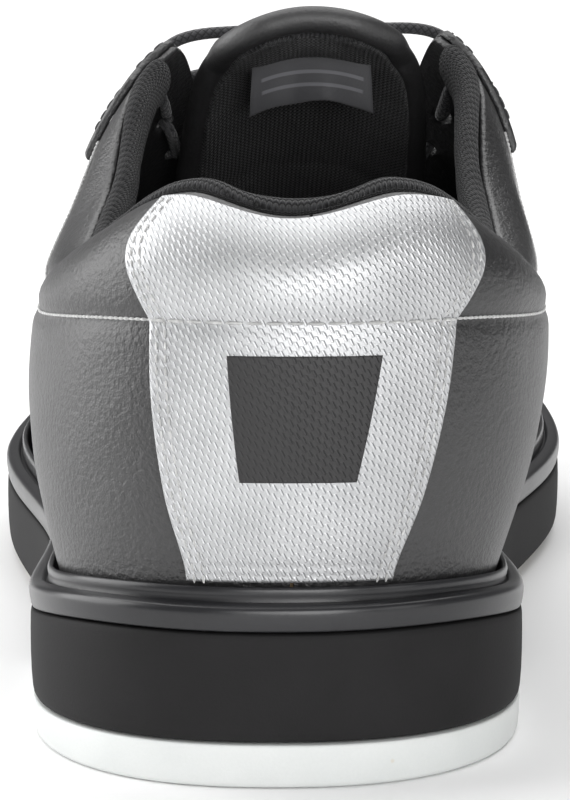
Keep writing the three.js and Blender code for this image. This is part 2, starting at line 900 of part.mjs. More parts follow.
const heelCounter = () => {
  const places = patch({
    from: -counterEnd,
    to: counterEnd,
    low: 0.05,
    high: (q) => Math.min(atHeight(q, counterHeight), belowTop(q, collarDepth + seamGap)),
    columns: 22,
    rows: 7,
  });
  return shell(places, -leather - padGap - counterThickness, -leather - padGap);
};

const quarterLining = (side) => {
  const turn = (q) => (side < 0 ? q : 2 - q);
  const places = patch({
    from: turn(collarEnd + seamGap * perMm),
    to: (t) => turn(mix(0.62, 0.615, t)),
    low: 0.03,
    high: (q) => belowTop(q, eyestayWidth + 3),
    columns: 13,
    rows: 7,
  });
  const depth = leather + 1.4 * padGap;
  return shell(places, -depth - liningThickness, -depth);
};

// ---------------------------------------------------------------- throat, lace and tongue

function qAt(y) {
  let [low, high] = [0.15, 0.9];
  for (let i = 0; i < 26; i++) {
    const middle = (low + high) / 2;
    if (rib(middle).centreY < y) low = middle;
    else high = middle;
  }
  return low;
}

// A point of the throat's surface, by its place along the shoe and across from the spine.
function onThroat(y, x, distance) {
  const q = x < 0 ? qAt(y) : 2 - qAt(y);
  const share = (at) => {
    const made = rib(at);
    const reach = made.r[4];
    const want = Math.max(reach - Math.abs(x), 0);
    let [low, high] = [0.3, 1];
    for (let i = 0; i < 26; i++) {
      const middle = (low + high) / 2;
      if (bezier(made.r, middle) < want) low = middle;
      else high = middle;
    }
    return Math.abs(x) < nearZero ? 1 : low;
  };
  const spot = (at) => onRib(rib(at), share(at));
  const step = 0.003;
  const round = spot(q + step).sub(spot(q - step));
  const t = share(q);
  const up = onRib(rib(q), Math.min(t + 0.01, 1)).sub(onRib(rib(q), t - 0.01));
  const normal = up.cross(round).normalize();
  if (Math.abs(x) < 0.5) {
    normal.x *= Math.abs(x) / 0.5;
    normal.normalize();
  }
  return onRib(rib(q), t).addScaledVector(normal, distance);
}

const eyeletPlaces = (side) => {
  const places = [];
  for (let i = 0; i < eyeletPairs; i++) {
    const q = qAt(mix(eyeletFirstY, eyeletLastY, i / (eyeletPairs - 1)));
    const v = belowTop(side < 0 ? q : 2 - q, eyeletSetback);
    places.push([side < 0 ? q : 2 - q, v]);
  }
  return places;
};

const eyeletCutters = (side) =>
  eyeletPlaces(side).map(([q, v]) => {
    const pin = new THREE.CylinderGeometry(eyeletRadius, eyeletRadius, 9, 12);
    const turn = new THREE.Quaternion().setFromUnitVectors(point(0, 1, 0), normalOn(q, v));
    return pin.applyQuaternion(turn).translate(...onForm(q, v).toArray());
  });

const eyestay = (side) => {
  const turn = (q) => (side < 0 ? q : 2 - q);
  const places = patch({
    from: turn(collarEnd - 3 * perMm),
    to: turn(0.62),
    low: (q) => belowTop(q, eyestayWidth),
    high: 0.998,
    columns: 16,
    rows: 4,
  });
  return cut(shell(places, layerGap, layerGap + overlay), eyeletCutters(side));
};

// One lace: across the throat, down through an eyelet, along under the eyestay and up through the next.
function lace() {
  const over = layerGap + overlay + padGap + laceDiameter / 2 + 0.3;
  const under = -leather - padGap - laceDiameter / 2;
  const at = { [-1]: eyeletPlaces(-1), [1]: eyeletPlaces(1) };
  const corners = [];
  const spot = (side, i, distance) => {
    const [q, v] = at[side][i];
    return offForm(q, v, distance);
  };
  const alongside = (a, b, share, distance, side) => {
    const q = mix(at[side][a][0], at[side][b][0], share);
    return offForm(q, belowTop(q, eyeletSetback), distance);
  };
  let side = -1;
  corners.push(alongside(0, 1, 0.6, under, side));
  for (let i = 0; i < eyeletPairs; i++) {
    const y = rib(at[-1][i][0]).centreY;
    const half = throatHalf(y);
    corners.push(spot(side, i, under), spot(side, i, over));
    for (const share of [1.06, 0.93, 0.5, 0, -0.5, -0.93, -1.06]) {
      const lift = Math.abs(share) > 0.9 ? over : -laceSag * (1 - Math.abs(share));
      const x = side * share * (half + (Math.abs(share) > 1 ? 1.5 : 0));
      corners.push(onThroat(y, x, lift));
    }
    side = -side;
    corners.push(spot(side, i, over), spot(side, i, under));
    if (i + 1 < eyeletPairs) corners.push(alongside(i, i + 1, 0.5, under, side));
  }
  corners.push(alongside(eyeletPairs - 1, eyeletPairs - 2, 0.6, under, side));
  const path = new THREE.CurvePath();
  let from = corners[0];
  for (let i = 1; i + 1 < corners.length; i++) {
    const [before, here, after] = [corners[i - 1], corners[i], corners[i + 1]];
    const start = here.clone().lerp(before, 0.5);
    const end = here.clone().lerp(after, 0.5);
    if (from.distanceTo(start) > 0.01) path.add(new THREE.LineCurve3(from, start));
    path.add(new THREE.QuadraticBezierCurve3(start, here, end));
    from = end;
  }
  path.add(new THREE.LineCurve3(from, corners[corners.length - 1]));
  const section = new THREE.Shape();
  const sides = 6;
  for (let i = 0; i < sides; i++) {
    const angle = (2 * Math.PI * i) / sides;
    const [x, y] = [(laceDiameter / 2) * Math.cos(angle), (laceDiameter / 2) * Math.sin(angle)];
    if (i === 0) section.moveTo(x, y);
    else section.lineTo(x, y);
  }
  section.closePath();
  const rope = new THREE.ExtrudeGeometry(section, { steps: 190, extrudePath: path });
  rope.deleteAttribute("normal");
  rope.deleteAttribute("uv");
  return facingOut(mergeVertices(rope, 1e-3));
}

// The tongue's layers, from its front face back.
const drop = (y) => mix(tongueDrop, leather + layerGap, smooth((y - throatEndY + 3) / 9));
const foamDepth = tongueLeather + layerGap;
const liningDepth = foamDepth + tongueFoamThickness + layerGap;
const tongueDepth = liningDepth + tongueLiningThickness;

const tongueWidth = track([
  [tongueTopY, tongueHalfTop],
  [throatTopY, 20.2],
  [136, 22.5],
  [158, tongueHalfMiddle],
  [tongueRootY, tongueHalfRoot],
]);
function tongueHalf(y, shrink = 0) {
  const radius = tongueCorner - shrink;
  const near = clamp((y - tongueTopY - shrink) / radius);
  return tongueWidth(y) - shrink - radius * (1 - Math.sqrt(near * (2 - near)));
}

const lowerSpan = [foldY + foldGap / 2, tongueRootY];
const upperSpan = [tongueTopY, foldY - foldGap / 2];

function tongueLayer([start, end], near, far, shrink, rows) {
  const columns = 8;
  const places = [];
  for (let i = 0; i <= rows; i++) {
    const share = start < foldY ? (i / rows) ** 1.5 : i / rows;
    const y = mix(Math.max(start, tongueTopY + shrink), end, share);
    const row = [];
    for (let j = 0; j <= columns; j++) row.push([y, mix(-1, 1, j / columns) * tongueHalf(y, shrink)]);
    places.push(row);
  }
  return between(
    places,
    (y, x) => onThroat(y, x, -drop(y) - far),
    (y, x) => onThroat(y, x, -drop(y) - near),
  );
}

// The tongue's edge all the way round, from its lateral side over the top to its medial side.
function tongueEdge([start, end], corner) {
  const right = [];
  const rows = corner ? 9 : 10;
  for (let i = 0; i <= rows; i++) {
    const y = mix(end, start, corner ? 1 - (1 - i / rows) ** 1.5 : i / rows);
    right.push([tongueHalf(y), y]);
  }
  return right;
}

function edgeBinding(edge) {
  const places = edge.map((_, i) => [[i, 0], [i, 1]]);
  const face = (distance) => (i, out) => {
    const before = edge[Math.max(i - 1, 0)];
    const after = edge[Math.min(i + 1, edge.length - 1)];
    const [dx, dy] = [after[0] - before[0], after[1] - before[1]];
    const reach = (layerGap + out * bindingWidth) / Math.hypot(dx, dy);
    const [x, y] = [edge[i][0] - dy * reach, edge[i][1] + dx * reach];
    return onThroat(y, x, -drop(y) + distance);
  };
  return between(places, face(-tongueDepth - 0.3), face(0.3));
}

function tongueBinding(part) {
  if (part === "free") {
    const right = tongueEdge(upperSpan, true);
    const left = right.map(([x, y]) => [-x, y]).reverse();
    const top = [];
    const last = right[right.length - 1];
    for (let i = 1; i < 4; i++) top.push([mix(last[0], -last[0], i / 4), last[1]]);
    return edgeBinding([...right, ...top, ...left]);
  }
  const right = tongueEdge([lowerSpan[0], 186], false);
  return edgeBinding(part === "medial" ? right : right.map(([x, y]) => [-x, y]).reverse());
}

function tongueLabel() {
  const places = [];
  for (let i = 0; i <= 2; i++) {
    const row = [];
    for (let j = 0; j <= 8; j++) row.push([118 + (labelHeight * i) / 2, labelWidth * (j / 8 - 0.5)]);
    places.push(row);
  }
  const near = tongueDepth + 0.35;
  return between(
    places,
    (y, x) => onThroat(y, x, -drop(y) - near - labelThickness),
    (y, x) => onThroat(y, x, -drop(y) - near),
  );
}

// ---------------------------------------------------------------- assembly

const finishes = {
  leather: { color: 0x1b1b1d, roughness: 0.48, metalness: 0 },
  silver: { color: 0xc9cacc, roughness: 0.35, metalness: 0.6 },
  print: { color: 0x17171a, roughness: 0.5, metalness: 0 },
  mesh: { color: 0x141416, roughness: 0.9, metalness: 0 },
  foam: { color: 0x2a2a2c, roughness: 0.95, metalness: 0 },
  wedge: { color: 0x1c1c1e, roughness: 0.85, metalness: 0 },
  cup: { color: 0x38383c, roughness: 0.4, metalness: 0 },
  rubber: { color: 0xe9eaea, roughness: 0.6, metalness: 0 },
  microfibre: { color: 0xe4e1da, roughness: 0.95, metalness: 0 },
  board: { color: 0xb79d78, roughness: 0.9, metalness: 0 },
  steel: { color: 0x9a9da1, roughness: 0.35, metalness: 1 },
  label: { color: 0x8d8f95, roughness: 0.6, metalness: 0 },
  cord: { color: 0x1d1d20, roughness: 0.8, metalness: 0 },
};

const shoe = new THREE.Group();
function add(name, geometry, finish) {
  const mesh = new THREE.Mesh(geometry, new THREE.MeshStandardMaterial(finishes[finish]));
  mesh.name = name;
  shoe.add(mesh);
}

const vampGrid = forepart(vampStart, 13, 10);

add("heel_tread", rubberHeel(), "rubber");
add("slide_pad", slidePad(), "microfibre");
add("foam_wedge", foamWedge(), "wedge");
add("sole_cup", soleCup(), "cup");
add("shank", shank(), "steel");
add("insole_board", insoleBoard(), "board");
add("footbed", sheetInside((y) => boardTop(y) + layerGap, bedTop), "foam");
add("footbed_cover", sheetInside((y) => bedTop(y) + layerGap, coverTop), "mesh");
add("quarter_lateral", cut(quarter(-1), eyeletCutters(-1)), "leather");
add("quarter_medial", cut(quarter(1), eyeletCutters(1)), "leather");
add("vamp", shell(vampGrid, -leather, 0), "leather");
const capPlaces = forepart(toeCapStart, 10, 8, lipTop + seamGap);
add("toe_cap", shell(capPlaces, layerGap, layerGap + overlay), "leather");
add("toe_puff", toePuff(), "foam");
const toePlaces = forepart(() => 0.665, 11, 8);
add("vamp_lining", shell(toePlaces, -vampLiningDepth - liningThickness, -vampLiningDepth), "mesh");
add("eyestay_lateral", eyestay(-1), "leather");
add("eyestay_medial", eyestay(1), "leather");
add("heel_panel", heelPanel(), "silver");
add("heel_mark", heelMark(), "print");
add("heel_counter", heelCounter(), "board");
add("collar_foam", collarFoam(), "foam");
add("collar_lining", collarLining(), "mesh");
add("quarter_lining_lateral", quarterLining(-1), "mesh");
add("quarter_lining_medial", quarterLining(1), "mesh");
add("lace", lace(), "cord");
add("tongue_cover_lower", tongueLayer(lowerSpan, 0, tongueLeather, 0, 10), "leather");
const foamBack = foamDepth + tongueFoamThickness;
const lowerFoamSpan = [lowerSpan[0] + foldRelief, lowerSpan[1]];
add("tongue_foam_lower", tongueLayer(lowerFoamSpan, foamDepth, foamBack, 1.5, 10), "foam");
add("tongue_lining_lower", tongueLayer(lowerSpan, liningDepth, tongueDepth, 0, 10), "mesh");
add("tongue_cover_upper", tongueLayer(upperSpan, 0, tongueLeather, 0, 7), "leather");
add("tongue_foam_upper", tongueLayer(upperSpan, foamDepth, foamBack, 1.5, 7), "foam");
add("tongue_lining_upper", tongueLayer(upperSpan, liningDepth, tongueDepth, 0, 7), "mesh");
add("tongue_binding_upper", tongueBinding("free"), "leather");
add("tongue_binding_lateral", tongueBinding("lateral"), "leather");
add("tongue_binding_medial", tongueBinding("medial"), "leather");
add("tongue_label", tongueLabel(), "label");

shoe.updateMatrixWorld(true);
const box = new THREE.Box3().setFromObject(shoe);
const shift = point(-(box.min.x + box.max.x) / 2, -(box.min.y + box.max.y) / 2, -box.min.z);
shoe.children.forEach((mesh) => mesh.geometry.translate(shift.x, shift.y, shift.z));

export default shoe;
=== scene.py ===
"""Looks of a left bowling shoe, built on the frame of its CAD part."""

import math
from functools import lru_cache, partial

import bmesh
import bpy
import numpy as np
from bpy.props import FloatProperty, IntProperty, PointerProperty
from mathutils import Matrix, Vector


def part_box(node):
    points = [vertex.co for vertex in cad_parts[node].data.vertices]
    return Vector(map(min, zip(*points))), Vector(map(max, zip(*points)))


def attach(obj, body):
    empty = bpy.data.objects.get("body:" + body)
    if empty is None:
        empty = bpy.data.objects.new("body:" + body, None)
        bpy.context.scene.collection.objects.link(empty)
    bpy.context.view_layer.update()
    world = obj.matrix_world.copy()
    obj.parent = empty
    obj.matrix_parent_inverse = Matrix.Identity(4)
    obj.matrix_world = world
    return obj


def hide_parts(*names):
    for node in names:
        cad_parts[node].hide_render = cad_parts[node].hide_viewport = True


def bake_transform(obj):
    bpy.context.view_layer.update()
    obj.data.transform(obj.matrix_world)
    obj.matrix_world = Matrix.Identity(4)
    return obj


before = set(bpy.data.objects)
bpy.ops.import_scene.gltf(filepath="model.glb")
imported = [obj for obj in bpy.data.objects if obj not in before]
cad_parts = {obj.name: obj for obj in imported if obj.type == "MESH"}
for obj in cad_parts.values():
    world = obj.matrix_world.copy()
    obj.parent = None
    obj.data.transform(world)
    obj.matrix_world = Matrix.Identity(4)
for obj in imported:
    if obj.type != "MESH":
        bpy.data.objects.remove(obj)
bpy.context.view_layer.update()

bl_info = {
    "name": "Bowling Shoe",
    "version": (1, 0, 0),
    "blender": (4, 5, 0),
    "location": "View3D > Sidebar > Shoe",
    "description": "Builds the looks of a left bowling shoe",
    "category": "Object",
}

MM = 0.001

# --- sizes shared with the CAD part, in mm

SOLE_LENGTH, HEEL_WIDTH, HEEL_DEPTH, HEEL_SQUARE = 302.0, 86.4, 50.0, 2.3
WAIST = {-1: (41.6, 95.0), 1: (39.2, 105.0)}
BALL = {-1: (54.3, 196.0), 1: (57.2, 210.0)}
FULLNESS = {-1: 1.85, 1: 2.05}
TOE_TIP_X, HEEL_AXIS_X = 5.0, 2.5
LEDGE, RIM_HEIGHT, LIP_HEIGHT, PLATE = 5.6, 4.4, 3.0, 2.2
WALL_TAPER, BAND_SETBACK, BREAST_Y, BREAST_BOW = 0.6, 0.3, 92.0, 7.0
TREAD_BACK, TREAD_FRONT, SHANK_LIFT, SLIDE_LIFT = 8.1, 6.2, 4.2, 2.6
TOE_SPRING, TOE_SPRING_Y, PAD_START, PAD_END = 12.0, 200.0, 128.0, 291.0
BOARD, FOOTBED, COVER = 2.0, 4.0, 0.9
LEATHER, OVERLAY, LINING, GAP, PAD_GAP = 1.4, 1.2, 1.1, 0.45, 0.65
COLLAR_END, COLLAR_DEPTH, COLLAR_ROLL, ROLL_DEPTH, LEAN = 0.42, 24.0, 6.0, 12.0, 4.0
HEEL_DIP, HEEL_DIP_PLACE, HEEL_DIP_REACH, MEDIAL_FULLNESS, ROLL_HEIGHT = 3.4, 0.012, 0.072, 0.28, 4.4
THROAT_TOP, THROAT_END, THROAT_TOP_HALF, THROAT_FOOT_HALF = 128.0, 196.0, 24.5, 9.5
EYESTAY, EYELET_SETBACK, EYELETS = 17.0, 8.0, 6
EYELET_Y = (135.5, 187.0)
LACE_R, LACE_SAG = 1.1, 2.9
TONGUE_TOP, TONGUE_ROOT, TONGUE_DROP, TONGUE_CORNER, TONGUE_DEPTH = 113.0, 200.0, 5.1, 9.0, 6.4
FOLD_Y, FOLD_HALF = 131.0, 3.4
LABEL_Y, LABEL_WIDTH, LABEL_HEIGHT = 126.8, 31.0, 9.5
SPINE_BACK, SPINE_FRONT, SPINE_SOFT = 46.0, 262.0, 14.0
SEAM_HEIGHT = 49.3  # of the collar's seam above the foot of the upper
PANEL_EDGE = 28.3  # from the middle of the silver panel to its edge, along the seam
COLLAR_SEW = 17.0  # of the collar's quilted line below its top
TONGUE_SEWS = (141.0, 160.0)
HOLE_RADIUS, HOLE_DEPTH = 2.0, 9.0
MARK_FOOT, MARK_HEAD, MARK_HALVES = 23.0, 44.0, (9.8, 13.2)  # of the printed mark
BINDING_FOOT = 186.0  # where the tongue's edging starts
PILLOW_SIDE = 8.0  # how far in from its edge the tongue becomes plump
COLLAR_WALL_ROWS, COLLAR_ROLL_ROWS = 24, 9
SIDES = {-1: "lateral", 1: "medial"}
LIP_TOP = RIM_HEIGHT - PLATE + LIP_HEIGHT - GAP

# --- the shoe's form


def clamp(t, low=0.0, high=1.0):
    return np.clip(t, low, high)


def mix(a, b, t):
    return a + (b - a) * t


def smooth(t):
    t = clamp(t)
    return t * t * (3 - 2 * t)


def ramp(t, start, width):
    """A smooth rise from 0 to 1 over a width from a start."""
    return smooth((t - start) / width)


def hump(t, middle, width):
    return np.exp(-(((t - middle) / width) ** 2))


def arc(t):
    """A quarter of a circle, from 0 to 1."""
    t = clamp(t)
    return np.sqrt(t * (2 - t))


def soft_ramp(t, width):
    return (t + np.hypot(t, width)) / 2


class Track:
    """A smooth curve through rows of (place, value, value, ...), flat past both ends."""

    def __init__(self, rows):
        table = np.array(rows, float)
        self.x, self.y = table[:, 0], table[:, 1:]
        rise = np.diff(self.y, axis=0) / np.diff(self.x)[:, None]
        slope = np.zeros_like(self.y)
        before, after = rise[:-1], rise[1:]
        same = before * after > 0
        total = np.where(same, before + after, 1.0)
        slope[1:-1] = np.where(same, 2 * before * after / total, 0.0)
        self.slope = slope

    def __call__(self, place, k=0):
        at = np.clip(place, self.x[0], self.x[-1])
        i = np.clip(np.searchsorted(self.x, at, side="right") - 1, 0, len(self.x) - 2)
        step = self.x[i + 1] - self.x[i]
        t = (at - self.x[i]) / step
        y, m = self.y[:, k], self.slope[:, k]
        t2, t3 = t * t, t * t * t
        value = (2 * t3 - 3 * t2 + 1) * y[i] + (t3 - 2 * t2 + t) * step * m[i]
        return value + (3 * t2 - 2 * t3) * y[i + 1] + (t3 - t2) * step * m[i + 1]


def heel_back_y(x):
    share = np.abs(x / (HEEL_WIDTH / 2)) ** HEEL_SQUARE
    return HEEL_DEPTH * (1 - (1 - share) ** (1 / HEEL_SQUARE))


@lru_cache(maxsize=None)
def side_line(side):
    """One side of the sole's outline, as a line and the distances along it."""
    half = HEEL_WIDTH / 2
    (waist, waist_y), (ball, ball_y) = WAIST[side], BALL[side]
    steps = 600
    angle = np.linspace(0, math.pi / 2, steps + 1)
    x = half * np.sin(angle) ** (2 / HEEL_SQUARE)
    y = HEEL_DEPTH * (1 - np.cos(angle) ** (2 / HEEL_SQUARE))
    heel = np.stack([side * x, y], 1)
    if side > 0:
        heel = heel[heel[:, 0] >= HEEL_AXIS_X]
    else:
        back = np.linspace(HEEL_AXIS_X, 0, 11)[:-1]
        heel = np.concatenate([np.stack([back, heel_back_y(back)], 1), heel])
    y = np.linspace(HEEL_DEPTH, ball_y, steps + 1)[1:]
    inward = mix(half, waist, smooth((y - HEEL_DEPTH) / (waist_y - HEEL_DEPTH)))
    outward = mix(waist, ball, smooth((y - waist_y) / (ball_y - waist_y)))
    middle = np.stack([side * np.where(y < waist_y, inward, outward), y], 1)
    angle = angle[1:]
    reach = abs(side * ball - TOE_TIP_X)
    x = TOE_TIP_X + side * reach * np.cos(angle) ** (2 / FULLNESS[side])
    y = ball_y + (SOLE_LENGTH - ball_y) * np.sin(angle) ** (2 / FULLNESS[side])
    line = np.concatenate([heel, middle, np.stack([x, y], 1)])
    along = np.concatenate([[0], np.cumsum(np.hypot(*np.diff(line, axis=0).T))])
    return line, along


PER_MM = 1 / side_line(-1)[1][-1]


def outline(q):
    """A point of the outline: q is 0 at the heel's back, 1 at the toe, and 2 back at the heel."""
    w = np.mod(q, 2.0)
    x, y = np.empty_like(w), np.empty_like(w)
    for side, chosen, along in ((-1, w <= 1, w), (1, w > 1, 2 - w)):
        line, run = side_line(side)
        x[chosen] = np.interp(along[chosen] * run[-1], run, line[:, 0])
        y[chosen] = np.interp(along[chosen] * run[-1], run, line[:, 1])
    return x, y


def inset(q, distance):
    q = np.asarray(q, float)
    (ax, ay), (bx, by), (x, y) = outline(q - 0.006), outline(q + 0.006), outline(q)
    length = np.hypot(bx - ax, by - ay)
    return x + (by - ay) / length * distance, y - (bx - ax) / length * distance


rim_top = Track([(0, 31.4), (50, 25.6), (110, 22.3), (200, 19.6), (255, 22.2), (302, 29.5)])


def foot_lift(y):
    return TOE_SPRING * clamp((y - TOE_SPRING_Y) / (SOLE_LENGTH - TOE_SPRING_Y)) ** 2


def tread_top(y):
    return mix(TREAD_BACK, TREAD_FRONT, clamp(y / HEEL_DEPTH))


def wedge_foot(y):
    front = mix(SHANK_LIFT, SLIDE_LIFT, ramp(y, 108, 26))
    return mix(tread_top(y), front, ramp(y - BREAST_Y, 5, 10)) + foot_lift(y)


def plate_top(y):
    return rim_top(y) - RIM_HEIGHT + PLATE


def bed_top(y):
    return plate_top(y) + 2 * GAP + BOARD + FOOTBED


RIBS = Track(
    [
        (0, 13, 39, 0.94, 140), (30, 18, 38, 0.96, 138), (62, 26, 38, 1.0, 130), (92, 28, 38, 0.99, 124),
        (112, 21, 38, 1.03, 123), (128, 17, 37, 1.08, 118.5), (150, 14, 32, 0.85, 100),
        (170, 11, 27, 0.59, 85), (185, 9, 24, 0.55, 77), (200, 8, 22, 0.54, 70.5),
        (220, 6.5, 19.5, 0.53, 64.5), (240, 5.5, 17.5, 0.53, 60), (262, 4.5, 15.5, 0.53, 56.5),
        (302, 3.5, 14, 0.53, 55),
    ]
)  # place along the shoe; the rib's upright handle, its rise, its fullness and the height of the spine
COLLAR_TOP = Track(
    [(0, 98.9), (11, 98.9), (30, 90.5), (55, 81.5), (76, 79), (92, 84), (112, 98.5), (128, 112), (131, 400)]
)


def throat_half(y):
    share = (THROAT_END - y) / (THROAT_END - THROAT_TOP)
    straight = mix(THROAT_FOOT_HALF, THROAT_TOP_HALF, share)
    return np.where(y >= THROAT_END, 0.0, straight * arc((THROAT_END - y) / THROAT_FOOT_HALF))


def spine_y(y):
    return SPINE_BACK + soft_ramp(y - SPINE_BACK, SPINE_SOFT) - soft_ramp(y - SPINE_FRONT, SPINE_SOFT)


def spine_x(y):
    return mix(0.5, 3, ramp(y, 120, 80))


class Rib:
    """The ribs at an array of q."""

    def __init__(self, q):
        self.x, self.y = inset(q, LEDGE)
        other_y = inset(2 - np.asarray(q, float), LEDGE)[1]
        self.place = place = (self.y + other_y) / 2
        self.centre_y = spine_y(place)
        ahead = ramp(self.centre_y, 200, 60)
        self.centre_x = spine_x(self.centre_y) + 2 * ahead
        self.reach = np.hypot(self.centre_x - self.x, self.centre_y - self.y)
        self.inward = (self.centre_x - self.x) / self.reach, (self.centre_y - self.y) / self.reach
        self.foot = plate_top(self.y) + GAP
        top, rise = RIBS(place, 3), RIBS(place, 1)
        full = MEDIAL_FULLNESS * ramp(place, 66, 54) * (1 - ramp(place, 136, 50))
        crown = (RIBS(place, 2) + np.where(self.x > self.centre_x, full, 0.0)) * self.reach
        slope = (RIBS(self.centre_y + 1, 3) - RIBS(self.centre_y - 1, 3)) / 2
        fall = slope * self.inward[1] * (1 - ramp(place, 20, -20)) * ramp(place, 190, 40)
        zero = np.zeros_like(self.reach)
        self.r = [zero, zero - 0.4, -RIBS(place, 0), self.reach - crown, self.reach]
        self.z = [self.foot, self.foot + 0.34 * rise, self.foot + rise, top - crown * fall, top]
        self.lean = LEAN * (1 - ramp(place, 130, 80))

    def at(self, t):
        r, z = bezier(self.r, t), bezier(self.z, t)
        lean = self.lean * (z - self.foot) / 70
        return np.stack([self.x + self.inward[0] * r + lean, self.y + self.inward[1] * r, z], -1)


def bezier(c, t):
    s = 1 - t
    return s**4 * c[0] + 4 * s**3 * t * c[1] + 6 * s * s * t * t * c[2] + 4 * s * t**3 * c[3] + t**4 * c[4]


TABLE_Q = np.linspace(0, 2, 3201)


@lru_cache(maxsize=None)
def rib_ends():
    """How far up each rib the upper goes."""
    made = Rib(TABLE_Q)
    from_middle = np.mod(TABLE_Q - HEEL_DIP_PLACE, 2.0)
    dip = HEEL_DIP * (1 - smooth(np.minimum(from_middle, 2 - from_middle) / HEEL_DIP_REACH))

    def past(t):
        p = made.at(t)
        across = np.abs(p[..., 0] - made.lean * (p[..., 2] - made.foot) / 70 - made.centre_x)
        half = np.where(p[..., 1] < 86, 0.0, throat_half(np.maximum(p[..., 1], THROAT_TOP)))
        return (p[..., 2] > COLLAR_TOP(p[..., 1]) - dip) | ((half > 0) & (across < half))

    low = np.full_like(TABLE_Q, 0.2)
    found = np.zeros_like(TABLE_Q, bool)
    for t in np.arange(0.21, 0.999, 0.01):
        beyond = past(np.full_like(TABLE_Q, t))
        low = np.where(found | beyond, low, t)
        found |= beyond
    high = low + 0.01
    for _ in range(18):
        middle = (low + high) / 2
        beyond = past(middle)
        low, high = np.where(beyond, low, middle), np.where(beyond, middle, high)
    return np.where(found, low, 1.0)


def rib_end(q):
    return np.interp(np.mod(q, 2.0), TABLE_Q, rib_ends())


def on_form(q, v):
    made, end = Rib(q), rib_end(q)
    p = made.at(v * end)
    below = clamp((made.at(end)[..., 2] - p[..., 2]) / ROLL_DEPTH)
    amount = COLLAR_ROLL * (1 - ramp(made.place, 95, 25)) * (1 - below) ** 2
    amount = np.where(end < 0.999, amount, 0.0)
    p[..., 0] += made.inward[0] * amount
    p[..., 1] += made.inward[1] * amount
    return p


def unit(v):
    return v / np.maximum(np.linalg.norm(v, axis=-1, keepdims=True), 1e-9)


def normal_on(q, v):
    low, high = np.maximum(v - 0.01, 0), np.minimum(v + 0.01, 1)

    def face(at):
        around = on_form(at + 0.003, v) - on_form(at - 0.003, v)
        return unit(np.cross(on_form(at, high) - on_form(at, low), around))

    normal = face(q)
    ridge = ((v > 0.999) & (rib_end(q) > 0.999))[..., None]
    return np.where(ridge, unit(normal + face(2 - q)), normal)


def off_form(q, v, distance):
    q, v = np.broadcast_arrays(np.asarray(q, float), np.asarray(v, float))
    return on_form(q, v) + normal_on(q, v) * np.asarray(distance)[..., None]


def runs(points, axis=0):
    """The distance from the first point to each of a line or grid of points."""
    steps = np.diff(points, axis=axis, prepend=np.take(points, [0], axis))
    return np.cumsum(np.linalg.norm(steps, axis=-1), axis)


@lru_cache(maxsize=None)
def ladders():
    """Shares v, distances below the top edge and heights above the foot, for each q of the table."""
    v = np.linspace(1, 0, 61)
    q = TABLE_Q[:, None] + 0 * v
    p = on_form(q, v + 0 * q)
    return v, runs(p, 1), p[..., 2]


@lru_cache(maxsize=None)
def share_table(kind, distance):
    v, lengths, z = ladders()
    if kind == "below":
        return np.array([np.interp(distance, row, v) for row in lengths])
    return np.array([np.interp(distance, row[::-1] - row[-1], v[::-1]) for row in z])


def below_top(q, distance):
    return np.interp(np.mod(q, 2.0), TABLE_Q, share_table("below", distance))


def at_height(q, height):
    return np.interp(np.mod(q, 2.0), TABLE_Q, share_table("height", height))


def down(q, v):
    lengths = ladders()[1]
    i = np.clip(np.searchsorted(TABLE_Q, np.mod(q, 2.0)), 0, len(TABLE_Q) - 1)
    place = clamp(1 - v) * 60
    j = np.minimum(place.astype(int), 59)
    return mix(lengths[i, j], lengths[i, j + 1], place - j)


@lru_cache(maxsize=None)
def throat_table():
    q = np.linspace(0.1, 0.95, 1601)
    return q, Rib(q).centre_y


def q_at(y):
    q, centre = throat_table()
    return np.interp(y, centre, q)


def on_throat(y, x, distance):
    """A point by its place along the shoe and across from the spine, off the form's surface."""
    y, x = np.broadcast_arrays(np.asarray(y, float), np.asarray(x, float))
    q = np.where(x < 0, q_at(y), 2 - q_at(y))

    def share(at):
        made = Rib(at)
        want = np.maximum(made.reach - np.abs(x), 0)
        low, high = np.full(x.shape, 0.3), np.ones(x.shape)
        for _ in range(22):
            middle = (low + high) / 2
            under = bezier(made.r, middle) < want
            low, high = np.where(under, middle, low), np.where(under, high, middle)
        return made, np.where(np.abs(x) < 1e-6, 1.0, low)

    (made, t), (ahead, ta), (behind, tb) = share(q), share(q + 0.003), share(q - 0.003)
    around = ahead.at(ta) - behind.at(tb)
    up = made.at(np.minimum(t + 0.01, 1)) - made.at(t - 0.01)
    normal = unit(np.cross(up, around))
    normal[..., 0] *= np.minimum(np.abs(x) / 4, 1)
    return made.at(t) + unit(normal) * np.asarray(distance)[..., None]


def frame_shift():
    low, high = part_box("sole_cup")
    middle = (BALL[1][0] - BALL[-1][0]) / 2
    return np.array([(low[0] + high[0]) / 2 / MM - middle, low[1] / MM, 0.0])


SHIFT = frame_shift()


def wave(p, scale, seed=0.0):
    """A smooth unevenness between -1 and 1 over points in mm."""
    x, y, z = (p[..., i] / scale for i in range(3))
    first = np.sin(1.7 * x + 2.3 * y + seed) * np.sin(2.1 * z - 1.3 * x + 2 * seed)
    return 0.6 * first + 0.4 * np.sin(4.1 * y + 3.3 * z + 3 * seed) * np.sin(3.7 * x - 2.9 * z)


# --- meshes


def add_object(name, data):
    obj = bpy.data.objects.new(name, data)
    bpy.context.scene.collection.objects.link(obj)
    return obj


def map_cloth(mesh, uv):
    """Keeps a pair of map coordinates in mm for each point."""
    loops = np.empty(len(mesh.loops), np.int32)
    mesh.loops.foreach_get("vertex_index", loops)
    mesh.uv_layers.new(name="cloth").data.foreach_set("uv", uv[loops].astype(np.float32).ravel())


